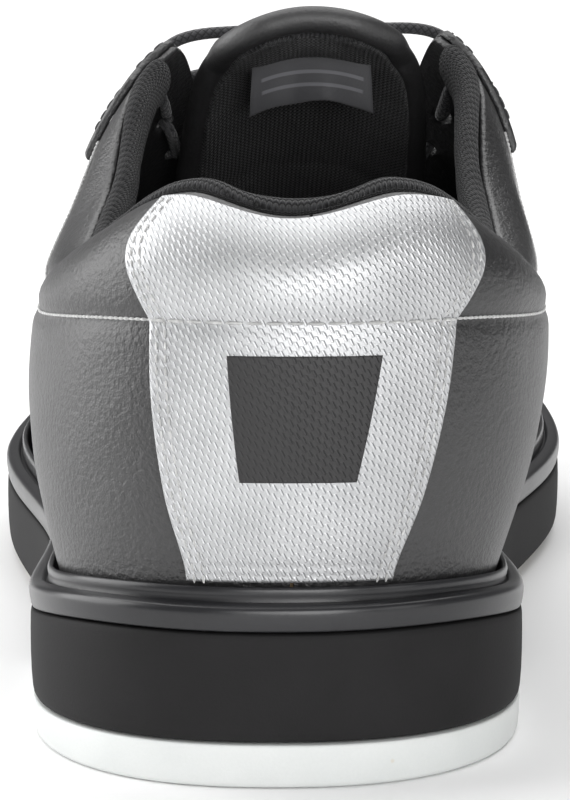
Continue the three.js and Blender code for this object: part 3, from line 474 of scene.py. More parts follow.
def coordinates(mesh):
    co = np.empty(len(mesh.vertices) * 3)
    mesh.vertices.foreach_get("co", co)
    return co.reshape(-1, 3)


def flat_map(obj):
    map_cloth(obj.data, coordinates(obj.data)[:, :2] / MM)


def smooth_shaded(mesh):
    mesh.polygons.foreach_set("use_smooth", [True] * len(mesh.polygons))


def applied(obj):
    """The mesh that the object's modifiers make of it."""
    view = bpy.context.evaluated_depsgraph_get()
    view.update()
    return bpy.data.meshes.new_from_object(obj.evaluated_get(view))


def bake(obj):
    """Turns the object's modifiers into its mesh."""
    made = applied(obj)
    obj.modifiers.clear()
    obj.data = made


def new_object(name, points, faces, uv=None, marks=None):
    """A finished piece from points in mm: at the origin, unturned, smooth shaded."""
    mesh = bpy.data.meshes.new(name)
    mesh.from_pydata(((points + SHIFT) * MM).tolist(), [], faces)
    for key, values in (marks or {}).items():
        mesh.attributes.new(key, "FLOAT", "POINT").data.foreach_set("value", values.astype(np.float32))
    if uv is not None:
        map_cloth(mesh, uv)
    work = bmesh.new()
    work.from_mesh(mesh)
    bmesh.ops.remove_doubles(work, verts=work.verts, dist=1e-6)
    bmesh.ops.dissolve_degenerate(work, dist=1e-7, edges=work.edges)
    bmesh.ops.recalc_face_normals(work, faces=work.faces)
    work.to_mesh(mesh)
    work.free()
    smooth_shaded(mesh)
    return add_object(name, mesh)


def grid_faces(rows, columns, start=0, flip=False, closed=False):
    faces = []
    last = columns if closed else columns - 1
    for i in range(rows - 1):
        for j in range(last):
            k = (j + 1) % columns
            a, b = start + i * columns + j, start + (i + 1) * columns + j
            c, d = start + (i + 1) * columns + k, start + i * columns + k
            faces.append((a, d, c, b) if flip else (a, b, c, d))
    return faces


def rim_of(rows, columns):
    top = [(0, j) for j in range(columns)] + [(i, columns - 1) for i in range(1, rows)]
    back = [(rows - 1, j) for j in range(columns - 2, -1, -1)] + [(i, 0) for i in range(rows - 2, 0, -1)]
    return [i * columns + j for i, j in top + back]


def shares(length, step, fine=(0.15, 0.45, 0.9, 1.5, 2.4)):
    """Shares of a length, closer together at both ends so that an edge can be rounded."""
    ends = np.array([0.0, *fine]) / length
    inner = np.linspace(ends[-1], 1 - ends[-1], max(int(length / step), 3))
    return np.concatenate([ends[:-1], inner, 1 - ends[:-1][::-1]])


def plate(name, surface, inner, outer, sides="lrbt", soft=0.7, seams=(), swell=None, held=None):
    """A closed panel. surface(distance) gives its grid, moved out by an array or a number of mm."""
    base = surface(0.0)
    rows, columns = base.shape[:2]
    down_run, side_run = runs(base, 0), runs(base, 1)
    choices = {"l": down_run, "r": down_run[-1:] - down_run, "b": side_run, "t": side_run[:, -1:] - side_run}
    edge = np.full((rows, columns), 1e3)
    for key in sides:
        edge = np.minimum(edge, choices[key])
    fall = 1 - clamp(edge / soft)
    height = outer - (outer - inner) * 0.5 * fall**2
    for distance, depth in seams:
        height = height - depth * hump(edge, distance, 0.45)
    if swell is not None:
        height = height + swell(base, edge)
    top, bottom = surface(height), surface(inner + 0 * edge)
    points = np.concatenate([top.reshape(-1, 3), bottom.reshape(-1, 3)])
    count = rows * columns
    faces = grid_faces(rows, columns) + grid_faces(rows, columns, count, flip=True)
    loop = rim_of(rows, columns)
    for a, b in zip(loop, loop[1:] + loop[:1]):
        faces.append((b, a, a + count, b + count))
    lengths = [runs(surface(outer + 0 * edge), axis) for axis in (0, 1)]
    middles = [np.take(run, [run.shape[axis] // 2], axis) for axis, run in enumerate(lengths)]
    uv = np.stack([run - middle for run, middle in zip(lengths, middles)], -1)
    uv = np.tile(uv.reshape(-1, 2), (2, 1))
    marks = {"edge": np.tile(edge.ravel(), 2)}
    if held is not None:
        marks["held"] = np.concatenate([held(edge).ravel(), np.ones(count)])
    return new_object(name, points, faces, uv, marks)


def loft(name, loops, cap=True, uv=None):
    """A solid through closed loops of points, an array of loops by points by 3."""
    rows, columns = loops.shape[:2]
    faces = grid_faces(rows, columns, closed=True)
    if cap:
        faces.append(tuple(range(columns - 1, -1, -1)))
        faces.append(tuple(range((rows - 1) * columns, rows * columns)))
    return new_object(name, loops.reshape(-1, 3), faces, uv)


def tube(name, path, radius, sides):
    """A cord along a path in mm, with the way round and the way along as its map."""
    ahead = unit(np.gradient(path, axis=0))
    across = np.zeros_like(path)
    side = unit(np.cross(ahead[0], [0.3, 0.2, 1.0]))
    for i, direction in enumerate(ahead):
        side = unit(side - direction * np.dot(side, direction))
        across[i] = side
    up = np.cross(ahead, across)
    angle = np.linspace(0, 2 * math.pi, sides, endpoint=False)
    ring = across[:, None] * np.cos(angle)[None, :, None] + up[:, None] * np.sin(angle)[None, :, None]
    uv = np.stack(np.broadcast_arrays(angle[None, :] / (2 * math.pi), runs(path)[:, None]), -1)
    return loft(name, path[:, None] + ring * radius, uv=uv.reshape(-1, 2))


# --- materials


def put(tree, socket, value):
    """Links or sets a socket."""
    if isinstance(value, Value):
        value = value.socket
    if isinstance(value, bpy.types.NodeSocket):
        tree.links.new(value, socket)
    elif isinstance(value, tuple) and len(value) < len(socket.default_value):
        socket.default_value = (*value, 1.0)
    else:
        socket.default_value = value


def add_node(tree, kind, settings=None, inputs=None):
    """A new node's outputs. Its inputs are linked or set, by name or by number."""
    made = tree.nodes.new(kind)
    for key, value in (settings or {}).items():
        setattr(made, key, value)
    for key, value in (inputs or {}).items():
        put(tree, made.inputs[key], value)
    return made.outputs


class Value:
    """A shader value that Python's own operators can be used on."""

    def __init__(self, kit, socket):
        self.kit, self.socket = kit, socket

    def call(self, kind, other=0.0, turned=False):
        first, second = (other, self) if turned else (self, other)
        return self.kit.node("ShaderNodeMath", {"operation": kind}, {0: first, 1: second})

    def band(self, low, high):
        inputs = {"Value": self, "From Min": low, "From Max": high}
        return self.kit.node("ShaderNodeMapRange", {"interpolation_type": "SMOOTHSTEP"}, inputs)

    def __abs__(self):
        return self.call("ABSOLUTE")

    def sign(kind, turned=False):
        return lambda self, other: self.call(kind, other, turned)

    __add__ = __radd__ = sign("ADD")
    __mul__ = __rmul__ = sign("MULTIPLY")
    __sub__, __rsub__ = sign("SUBTRACT"), sign("SUBTRACT", turned=True)
    __truediv__, __pow__, __mod__ = sign("DIVIDE"), sign("POWER"), sign("FLOORED_MODULO")


class Material:
    """A material with a Principled shader, and short ways to make the nodes that feed it."""

    def __init__(self, name, **constants):
        self.data = bpy.data.materials.new(name)
        self.data.use_nodes = True
        self.tree = self.data.node_tree
        self.shader = self.tree.nodes["Principled BSDF"]
        for key, value in constants.items():
            self.shader.inputs[key.replace("_", " ").title().replace("Ior", "IOR")].default_value = value

    def node(self, kind, settings=None, inputs=None, out=0):
        return Value(self, add_node(self.tree, kind, settings, inputs)[out])

    def place(self, scale=(1000.0, 1000.0, 1000.0)):
        """The piece's own coordinates, in mm unless scaled otherwise."""
        own = self.node("ShaderNodeTexCoord", out="Object")
        return self.node("ShaderNodeVectorMath", {"operation": "MULTIPLY"}, {0: own, 1: scale})

    def cloth(self):
        """The two map coordinates, in mm."""
        uv = self.node("ShaderNodeUVMap", {"uv_map": "cloth"})
        parts = add_node(self.tree, "ShaderNodeSeparateXYZ", None, {0: uv})
        return Value(self, parts[0]), Value(self, parts[1])

    def noise(self, size, detail=3.0, rough=0.5, at=None):
        inputs = {"Vector": at or self.place(), "Scale": 1 / size, "Detail": detail, "Roughness": rough}
        return self.node("ShaderNodeTexNoise", None, inputs)

    def cells(self, size, feature="F1"):
        inputs = {"Vector": self.place(), "Scale": 1 / size}
        return self.node("ShaderNodeTexVoronoi", {"feature": feature}, inputs)

    def colour(self, share, low, high):
        return self.node("ShaderNodeMix", {"data_type": "RGBA"}, {"Factor": share, 6: low, 7: high}, 2)

    def finish(self, colour, rough, height=None, depth=0.1, metal=0.0):
        """The finished material, with a relief of so many mm if it is given a height."""
        values = {"Base Color": colour, "Roughness": rough, "Metallic": metal}
        if height is not None:
            relief = {"Height": height, "Distance": depth * MM, "Strength": 1.0}
            values["Normal"] = self.node("ShaderNodeBump", None, relief)
        for key, value in values.items():
            put(self.tree, self.shader.inputs[key], value)
        return self.data


def leather_material(name, low, high, grain=1.0, rough=0.4, relief=0.19, crease=False):
    kit = Material(name, specular_ior_level=0.8, coat_weight=0.08, coat_roughness=0.32)
    warp = kit.noise(9.0, 2.0)
    pebbles = kit.cells(0.95 * grain, "SMOOTH_F1")
    fine = kit.cells(0.42 * grain, "F1")
    pores = kit.noise(0.3, 3.0, 0.6)
    height = pebbles * 0.85 + fine * 0.35 + pores * 0.25 + warp * 0.4
    if crease:
        folds = kit.noise(1.0, 4.0, 0.6, at=kit.place((90.0, 420.0, 160.0)))
        height = height + abs(folds - 0.5).band(0.0, 0.09) * 0.5
    wear = kit.noise(26.0, 3.0, 0.6)
    shade = (pebbles * 0.5 + wear * 0.7).band(0.15, 0.95)
    return kit.finish(kit.colour(shade, low, high), rough + (wear - 0.5) * 0.16 + fine * 0.08, height, relief)


def creased_leather(name, low, high):
    return leather_material(name, low, high, crease=True)


def silver_material(name, dark=False):
    """Metallic foil over a woven relief: short slanted ribs in columns, each with a slit beside it. Its
    colour is lighter on the ribs as a painted glint and darker in the slits as painted shade.
    """
    kit = Material(name, specular_ior_level=0.5, coat_weight=0.0 if dark else 0.15, coat_roughness=0.3)
    side, up = kit.cloth()
    drift = (kit.noise(6.0, 2.0) - 0.5) * 0.5
    column = side / 1.15 + drift * 0.5
    x = (column % 1.0) - 0.5
    odd = (column.call("FLOOR") * 0.5) % 1.0
    y = ((up / 1.5 + odd + drift) % 1.0) - 0.5
    lean = x - y * 0.7
    fade = 1.0 - abs(y).band(0.3, 0.48)
    rib = (1.0 - abs(lean).band(0.04, 0.26)) * fade
    slit = (1.0 - abs(lean + 0.27).band(0.02, 0.12)) * fade
    thread = kit.noise(0.22, 3.0, 0.6)
    height = rib * 0.8 - slit * 0.7 + thread * 0.35
    wear = kit.noise(14.0, 4.0, 0.6)
    # colour share: a painted glint on each rib and painted shade in each slit, over random wear and thread
    # tone
    share = (0.5 + rib * 0.2 - slit * 0.45 + (wear - 0.5) * 0.4 + (thread - 0.5) * 0.3).band(0.0, 1.0)
    if dark:
        colour = kit.colour(share, (0.009, 0.0085, 0.009), (0.026, 0.025, 0.026))
        return kit.finish(colour, 0.45 + wear * 0.16, height, 0.1)
    colour = kit.colour(share, (0.28, 0.284, 0.292), (0.72, 0.725, 0.735))
    return kit.finish(colour, 0.43 + wear * 0.1 - rib * 0.04, height, 0.1, metal=0.72 + wear * 0.12)


def knit_material(name, low, high, size=1.05):
    """A warp-knitted mesh: small v-shaped loops in columns, with a soft fuzz over them."""
    kit = Material(name, specular_ior_level=0.2, sheen_weight=0.16, sheen_roughness=0.45)
    side, up = kit.cloth()
    drift = (kit.noise(5.0, 2.0) - 0.5) * 0.3
    x = abs((side / size + drift) % 1.0 - 0.5)
    y = (up / (size * 0.8) + x * 0.9 + drift) % 1.0
    loop = 1.0 - (abs(y - 0.5) * 2.0) ** 1.5
    valley = x.band(0.0, 0.1) * (1.0 - x.band(0.4, 0.5))
    fuzz = kit.noise(0.16, 3.0, 0.7)
    loops = loop * valley
    shade = (loops * 0.75 + (kit.noise(11.0, 3.0) - 0.5) * 0.4 + fuzz * 0.3).band(0.1, 1.0)
    return kit.finish(kit.colour(shade, low, high), 0.8 + fuzz * 0.14, loops + fuzz * 0.4, 0.32)


def rubber_material(name, low, high, rough, relief=0.03, grain=0.5, coat=0.0, level=0.45, speck=None):
    kit = Material(name, specular_ior_level=level, coat_weight=coat, coat_roughness=0.22)
    skin = kit.noise(grain, 4.0, 0.65)
    cloud = kit.noise(22.0, 4.0, 0.55)
    colour = kit.colour((cloud * 0.8 + skin * 0.3).band(0.2, 0.9), low, high)
    if speck:
        spots = 1.0 - kit.cells(3.2).band(0.05, 0.16)
        rare = kit.noise(6.0, 2.0).band(0.56, 0.66)
        colour = kit.colour(spots * rare * 0.45, colour, speck)
    return kit.finish(colour, rough + (cloud - 0.5) * 0.14 + skin * 0.05, skin, relief)


def dull_rubber(name, low, high, rough, relief):
    return rubber_material(name, low, high, rough, relief, level=0.25)


def speckled_rubber(name, low, high, rough):
    return rubber_material(name, low, high, rough, speck=(0.6, 0.52, 0.4))


def braid_material(name, low, high):
    kit = Material(name, specular_ior_level=0.3, sheen_weight=0.25)
    around, along = kit.cloth()
    one = abs((around * 5.0 + along / 1.5) % 1.0 - 0.5) * 2.0
    two = abs((around * 5.0 - along / 1.5) % 1.0 - 0.5) * 2.0
    weave = one.call("MAXIMUM", two)
    fuzz = kit.noise(0.2, 3.0)
    height = (1.0 - weave**3.0) + fuzz * 0.25
    return kit.finish(kit.colour(height.band(0.1, 1.1), low, high), 0.75 + fuzz * 0.12, height, 0.16)


def label_material(name):
    """Woven satin with two plain bars in a lighter thread."""
    kit = Material(name, specular_ior_level=0.45, sheen_weight=0.2)
    along, up = kit.cloth()
    away = abs(along)
    bar = 1.0 - abs(away % 2.4 - 1.2).band(0.25, 0.45)
    bar = bar * (1.0 - abs(up).band(9.5, 10.0)) * (1.0 - away.band(2.9, 3.1))
    weft = abs((along / 0.22) % 1.0 - 0.5) + kit.noise(0.3, 2.0) * 0.4
    colour = kit.colour(bar, kit.colour(weft, (0.03, 0.03, 0.033), (0.055, 0.055, 0.06)), (0.11, 0.11, 0.12))
    return kit.finish(colour, 0.5 + weft * 0.12, weft + bar * 0.6, 0.06)


def metal_material(name):
    kit = Material(name)
    lines = kit.noise(1.0, 3.0, at=kit.place((4000.0, 40.0, 4000.0)))
    colour = kit.colour(lines, (0.4, 0.4, 0.42), (0.6, 0.6, 0.62))
    return kit.finish(colour, 0.3 + lines * 0.2, lines, 0.01, metal=1.0)


BLACK_HIDE = (0.008, 0.008, 0.0084), (0.02, 0.0196, 0.0208)
LOOKS = {  # how each material is made, and with what
    "upper_leather": (leather_material, *BLACK_HIDE),
    "vamp_leather": (creased_leather, *BLACK_HIDE),
    "binding_leather": (leather_material, (0.01, 0.0098, 0.0105), (0.022, 0.0215, 0.0225), 0.6, 0.5, 0.07),
    "silver_panel": (silver_material,),
    "black_print": (silver_material, True),
    "lining_mesh": (knit_material, (0.003, 0.003, 0.0032), (0.034, 0.034, 0.0365)),
    "cup_rubber": (rubber_material, (0.011, 0.011, 0.0125), (0.021, 0.021, 0.0235), 0.32, 0.015, 0.8, 0.15),
    "wedge_foam": (dull_rubber, (0.007, 0.0068, 0.007), (0.015, 0.0145, 0.0152), 0.72, 0.05),
    "white_rubber": (speckled_rubber, (0.64, 0.66, 0.65), (0.72, 0.735, 0.725), 0.5),
    "slide_microfibre": (rubber_material, (0.6, 0.57, 0.5), (0.76, 0.73, 0.67), 0.85, 0.12, 0.25),
    "fibreboard": (rubber_material, (0.3, 0.21, 0.12), (0.46, 0.34, 0.2), 0.8, 0.06, 0.4),
    "pad_foam": (rubber_material, (0.03, 0.03, 0.033), (0.075, 0.075, 0.08), 0.9, 0.2, 0.35),
    "shank_steel": (metal_material,),
    "label_satin": (label_material,),
    "lace_cord": (braid_material, (0.01, 0.01, 0.011), (0.05, 0.05, 0.054)),
    "thread_white": (braid_material, (0.55, 0.55, 0.55), (0.82, 0.82, 0.81)),
    "thread_black": (braid_material, (0.012, 0.012, 0.013), (0.05, 0.05, 0.053)),
}


@lru_cache(maxsize=None)
def material(name):
    make, *values = LOOKS[name]
    return make(name, *values)


def settle(obj, body, look, *nodes, slot=None):
    """Gives a finished piece its material, the body it rides on and the CAD nodes it stands for."""
    obj.data.materials.clear()
    obj.data.materials.append(material(look))
    if body:
        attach(obj, body)
    if nodes:
        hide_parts(*nodes)
    slot or look
    return obj


# --- sole


def stack(*rows):
    return np.stack(rows, axis=1)


def edge_row(q, distance, z):
    x, y = inset(q, distance)
    return np.stack([x, y, z(y)], -1)


def spine_row(q, z):
    y = spine_y((inset(q, LEDGE)[1] + inset(2 - q, LEDGE)[1]) / 2)
    return np.stack([spine_x(y), y, z(y)], -1)


def over(base, height):
    """A height above another one, both as functions of the place along the shoe."""
    return lambda y: base(y) + height


def ring(name, rows, steps=200):
    """A body that goes round the whole outline. Each row is (distance, height) or a function of q."""
    s = np.linspace(0, 2, 2 * steps + 1)
    q = s - 0.09 * np.sin(2 * math.pi * s)
    points = stack(*[row(q) if callable(row) else edge_row(q, *row) for row in rows])
    return new_object(name, points.reshape(-1, 3), grid_faces(*points.shape[:2]))


def build_cup():
    def hug(height, distance):
        return lambda q: off_form(q, at_height(q, height), np.full_like(q, distance))

    foot = over(rim_top, -RIM_HEIGHT)
    band = [(0.85, -4.4), (0.5, -4.3), (0.32, -3.9), (0.12, -2.8), (0.02, -1.9), (0.0, -1.3)]
    shoulder = [(0.1, -0.75), (0.35, -0.3), (0.8, -0.03), (1.5, 0.12), (2.1, 0.22), (2.5, 0.3)]
    rows = [lambda q: spine_row(q, foot), (14.5, foot)]
    rows += [(d, over(rim_top, z)) for d, z in band + shoulder]
    wall = PAD_GAP + 0.2
    groove, lip = [(1.6, 1.85), (1.5, 1.6), (1.9, 1.35)], [(1.5, 1.47), (2.2, 1.41), (2.7, 1.1), (3.4, 1.15)]
    lip += [(4.2, 1.07), (4.6, 0.8), (LIP_TOP, 0.55), (LIP_TOP - 0.15, 0.15)]
    lip += [(LIP_TOP - 0.7, 0.0), (0.6, 0.0)]
    rows += [hug(height, wall + thick) for height, thick in groove + lip]
    rows += [(LEDGE + 0.2, plate_top), (LEDGE + 14, plate_top)]
    rows += [lambda q: spine_row(q, plate_top)]
    settle(ring("cup_sole", rows), "shoe", "cup_rubber", "sole_cup")


def build_wedge():
    head = over(rim_top, -RIM_HEIGHT - GAP)

    def part(share, bulge):
        return mix(WALL_TAPER, BAND_SETBACK, share) - bulge, lambda y: mix(wedge_foot(y), head(y), share)

    rows = [lambda q: spine_row(q, wedge_foot), (WALL_TAPER + 14, wedge_foot), (WALL_TAPER + 0.7, wedge_foot)]
    rows += [part(0.012, -0.32), part(0.04, -0.08), part(0.09, 0.05), part(0.25, 0.18), part(0.5, 0.22)]
    rows += [part(0.75, 0.16), part(0.93, 0.05), part(0.985, -0.1), part(1.0, -0.4), part(1.0, -14)]
    rows += [lambda q: spine_row(q, head)]
    settle(ring("foam_midsole", rows), "shoe", "wedge_foam", "foam_wedge")


def slab(name, q, profile, columns=15, bow=0.0):
    """A flat layer from row to row of q: profile is the edge from its underside to its top."""
    s = np.linspace(0, 1, columns)[1:-1]
    left = [edge_row(q, d, z) for d, z in profile]
    right = [edge_row(2 - q, d, z) for d, z in profile]
    top = [mix(left[-1], right[-1], t) for t in s]
    under = [mix(right[0], left[0], t) for t in s]
    loops = stack(*left, *top, *right[::-1], *under)
    if bow:
        share = smooth((q - q[-1] + 0.03) / 0.03)[:, None]
        loops[..., 1] -= share * bow * (1 - (loops[..., 0] / (HEEL_WIDTH / 2)) ** 2)
    return loft(name, loops)


def q_of_y(y):
    q = np.linspace(0, 1, 2000)
    return float(np.interp(y, inset(q, LEDGE)[1], q))


def build_heel():
    q = q_of_y(BREAST_Y + 0.6) * np.linspace(0, 1, 110) ** 1.2
    low = [(9.0, 0.0), (2.2, 0.0), (1.5, 0.15), (1.05, 0.5), (0.85, 1.1), (0.7, 3.0)]
    high = [(0.6, 0.5), (0.72, 0.12), (1.1, 0.0), (9.0, 0.0)]
    profile = [(d, over(lambda y: 0 * y, z)) for d, z in low]
    profile += [(d, over(tread_top, -GAP - drop)) for d, drop in high]
    settle(slab("heel_rubber", q, profile, bow=BREAST_BOW), "shoe", "white_rubber", "heel_tread")


def build_pad():
    q = np.linspace(q_of_y(PAD_START), q_of_y(PAD_END), 120)
    edges = [(8.0, 0.0), (3.6, 0.0), (3.3, 0.2), (3.2, 0.7), (3.2, 1.9), (3.5, 2.14), (8.0, 2.14)]
    profile = [(d, over(foot_lift, z)) for d, z in edges]
    settle(slab("slide_sole", q, profile), "shoe", "slide_microfibre", "slide_pad")


def build_footbed():
    q = 0.004 + 0.992 * np.linspace(0, 1, 130)
    low, high = over(bed_top, GAP), over(bed_top, GAP + COVER)
    profile = [(16.0, low), (12.5, low), (12.3, high), (16.0, high)]
    obj = slab("insole_cover", q, profile, columns=25)
    flat_map(obj)
    settle(obj, "shoe", "lining_mesh", "footbed_cover")


# --- upper


def quarter_front(t):
    return mix(0.47, 0.628, t)


def toe_cap_start(t):
    return mix(0.79, 0.86, smooth(t))


PANEL_HALF = Track([(0, 19.5), (0.35, 24), (0.62, 27.5), (0.74, 28.8), (0.92, 36), (1, 34.5)])


def along(q):
    w = np.mod(q, 2.0)
    return np.minimum(w, 2 - w)


def cushion(q, v):
    """How far the padded collar swells the leather, and the crease along the seam below it."""
    foot = Rib(q).foot
    height, top = on_form(q, v)[..., 2] - foot, on_form(q, 0 * v + 1)[..., 2] - foot
    share = clamp((height - SEAM_HEIGHT) / np.maximum(top - SEAM_HEIGHT, 5))
    crease = hump(height, SEAM_HEIGHT, 1.7)
    return (1.3 * np.sin(math.pi * share) ** 0.8 - 0.5 * crease) * (1 - ramp(along(q), 0.3, 0.1))


def mirrored(q, side):
    return q if side < 0 else 2 - q


def curved(q, v, padded=False):
    """The surface of a panel with these grids."""
    q, v = np.broadcast_arrays(np.asarray(q, float), np.asarray(v, float))
    swell = cushion(q, v) if padded else 0.0
    return lambda distance: off_form(q, v, distance + swell + 0 * q)


def uneven(depth, scale=17.0):
    return lambda base, edge: depth * wave(base, scale) * clamp(edge / 6)


def build_quarter(side):
    s, t = np.meshgrid(shares(205, 1.8), 1 - (1 - shares(95, 1.5)) ** 1.05, indexing="ij")
    q = mix(0.3 * PER_MM, quarter_front(t), s)
    surface = curved(mirrored(q, side), t, padded=True)
    obj = plate("leather_quarter_" + SIDES[side], surface, -LEATHER, 0.0, "rt", swell=uneven(0.16))
    cut_holes(obj, side)
    settle(obj, "shoe", "upper_leather", "quarter_" + SIDES[side])


def forepart(start, columns, rows, foot=0.0, close=True):
    """The grid of a panel over the toes, from one side's foot over the spine to the other's."""
    t = np.concatenate([rows, rows[-2::-1]])[None, :]
    medial = np.arange(t.shape[1]) >= len(rows)
    q = mix(start(t), 1.0, columns[:-5, None]) + 0 * t
    q = np.where(medial, 2 - q, q)
    v = mix(at_height(q, foot), 1.0, t) if foot else t + 0 * q
    if close:
        q = np.concatenate([q, np.where(q[-1:] > 1, 1.0001, 0.9999)])
        v = np.concatenate([v, v[-1:]])
    return q, v


def build_vamp():
    q, v = forepart(lambda t: quarter_front(t) + 1.0 * PER_MM, shares(135, 1.8), shares(75, 1.6))

    def creases(base, edge):
        y, x = base[..., 1], base[..., 0]
        bend = y + 0.0022 * (x - 3) ** 2 + 3.0 * np.sin(x / 17.0)
        lines = hump(bend, 213, 2.4) + 0.7 * hump(bend, 222, 2.0)
        lines = lines + 0.5 * hump(bend, 205, 1.8)
        return (0.15 * wave(base, 15.0, 2.0) - 0.42 * lines) * clamp(edge / 6)

    obj = plate("leather_vamp", curved(q, v), -LEATHER, 0.0, "l", swell=creases)
    settle(obj, "shoe", "vamp_leather", "vamp", slot="upper_leather")


def build_toe_cap():
    q, v = forepart(toe_cap_start, shares(70, 1.6), shares(62, 1.6), LIP_TOP + 0.6)
    seams, swell = [(1.7, 0.12), (4.0, 0.12)], uneven(0.1)
    obj = plate("leather_toe_cap", curved(q, v), GAP - 0.3, GAP + OVERLAY, "l", seams=seams, swell=swell)
    settle(obj, "shoe", "upper_leather", "toe_cap")


def build_eyestay(side):
    q = mirrored(mix(COLLAR_END - 3 * PER_MM, 0.62, shares(72, 1.2))[:, None], side)
    v = mix(below_top(q, EYESTAY), 0.998, shares(EYESTAY, 1.0)[None, :])
    seams = [(1.7, 0.12), (3.9, 0.1)]
    obj = plate("eyestay_panel_" + SIDES[side], curved(q, v), GAP - 0.35, GAP + OVERLAY, seams=seams)
    cut_holes(obj, side)
    settle(obj, "shoe", "upper_leather", "eyestay_" + SIDES[side])


def build_heel_panel():
    t = shares(72, 0.9)[None, :]
    half = PANEL_HALF(t) * PER_MM
    q = half * (2 * shares(66, 0.9)[:, None] - 1)
    v = mix(at_height(q, LIP_TOP + 0.6), 0.985, t)
    surface, swell = curved(q, v, padded=True), uneven(0.12, 12.0)
    seams = [(1.5, 0.14), (3.1, 0.14)]
    obj = plate("silver_heel_panel", surface, GAP - 0.35, GAP + OVERLAY, seams=seams, swell=swell)
    settle(obj, "shoe", "silver_panel", "heel_panel")
    t = shares(21, 0.7)[None, :]
    q = mix(*MARK_HALVES, t) * PER_MM * (2 * shares(24, 0.7)[:, None] - 1)
    v = mix(at_height(q, MARK_FOOT), at_height(q, MARK_HEAD), t)
    obj = plate("printed_mark", curved(q, v), GAP + OVERLAY + 0.05, GAP + OVERLAY + 0.3, soft=0.25)
    settle(obj, "shoe", "black_print", "heel_mark")


def eyelets(side):
    q = mirrored(q_at(np.linspace(*EYELET_Y, EYELETS)), side)
    return q, below_top(q, EYELET_SETBACK)


def cut_holes(obj, side):
    """Cuts the eyelet holes through a panel."""
    q, v = eyelets(side)
    mesh, work = bpy.data.meshes.new("cutter"), bmesh.new()
    for centre, normal in zip(on_form(q, v), normal_on(q, v)):
        turn = Vector(normal).to_track_quat("Z", "Y").to_matrix().to_4x4()
        turn.translation = Vector((centre + SHIFT) * MM)
        wide = {"radius1": HOLE_RADIUS * MM, "radius2": HOLE_RADIUS * MM}
        bmesh.ops.create_cone(work, cap_ends=True, segments=28, depth=HOLE_DEPTH * MM, matrix=turn, **wide)
    work.to_mesh(mesh)
    work.free()
    cutter = add_object("cutter", mesh)
    cut = obj.modifiers.new("holes", "BOOLEAN")
    cut.operation, cut.object, cut.solver = "DIFFERENCE", cutter, "EXACT"
    bake(obj)
    bpy.data.objects.remove(cutter)
    bpy.data.meshes.remove(mesh)


def settled(mesh, step, held, rounds=5):
    """Evens out the moves of a mesh's points, apart from those that are held."""
    pairs = np.empty(len(mesh.edges) * 2, np.int32)
    mesh.edges.foreach_get("vertices", pairs)
    first, second = pairs.reshape(-1, 2).T
    count = np.bincount(pairs, minlength=len(step))[:, None]
    for _ in range(rounds):
        total = np.zeros_like(step)
        np.add.at(total, first, step[second])
        np.add.at(total, second, step[first])
        step = np.where(held[:, None], step, 0.4 * step + 0.6 * total / count)
    return step


def fill(obj, pressure, cap):
    """Blows a pad up by cloth simulation. Held points stay, and no other moves past the cap, in mm."""
    mesh, scene = obj.data, bpy.context.scene
    held = np.empty(len(mesh.vertices), np.float32)
    mesh.attributes["held"].data.foreach_get("value", held)
    rest = coordinates(mesh)
    obj.vertex_groups.new(name="held").add(np.nonzero(held > 0.5)[0].tolist(), 1.0, "REPLACE")
    cloth = obj.modifiers.new("filling", "CLOTH")
    made = cloth.settings
    made.quality, made.mass, made.vertex_group_mass = 4, 0.002, "held"
    made.tension_stiffness = made.compression_stiffness = 2.0
    made.shear_stiffness, made.bending_stiffness = 1.0, 0.05
    made.use_pressure, made.uniform_pressure_force = True, pressure
    made.effector_weights.gravity = 0
    for number in range(1, 21):
        scene.frame_set(number)
    moved = coordinates(obj.evaluated_get(bpy.context.evaluated_depsgraph_get()).data)
    obj.modifiers.clear()
    obj.vertex_groups.clear()
    scene.frame_set(1)
    step = moved - rest
    length = np.linalg.norm(step, axis=1, keepdims=True)
    step *= np.minimum(1, cap * MM / np.maximum(length, 1e-9))
    step = settled(mesh, step, held > 0.5)
    mesh.vertices.foreach_set("co", (rest + step).ravel())
    mesh.attributes.remove(mesh.attributes["held"])
    finer = obj.modifiers.new("finer", "SUBSURF")
    finer.levels = finer.render_levels = 1
    bake(obj)


# --- collar, linings, tongue and lace

PAD_PROFILE = Track([(0, 3.2), (9, 4.6), (COLLAR_DEPTH, 1.6)])


def end_clearance(q):
    return 0.7 * ramp(along(q), 0.28, 0.08)


def collar_pad(q, v):
    return mix(PAD_PROFILE(down(q, v)), 1.6, ramp(along(q), 0.33, 0.08))


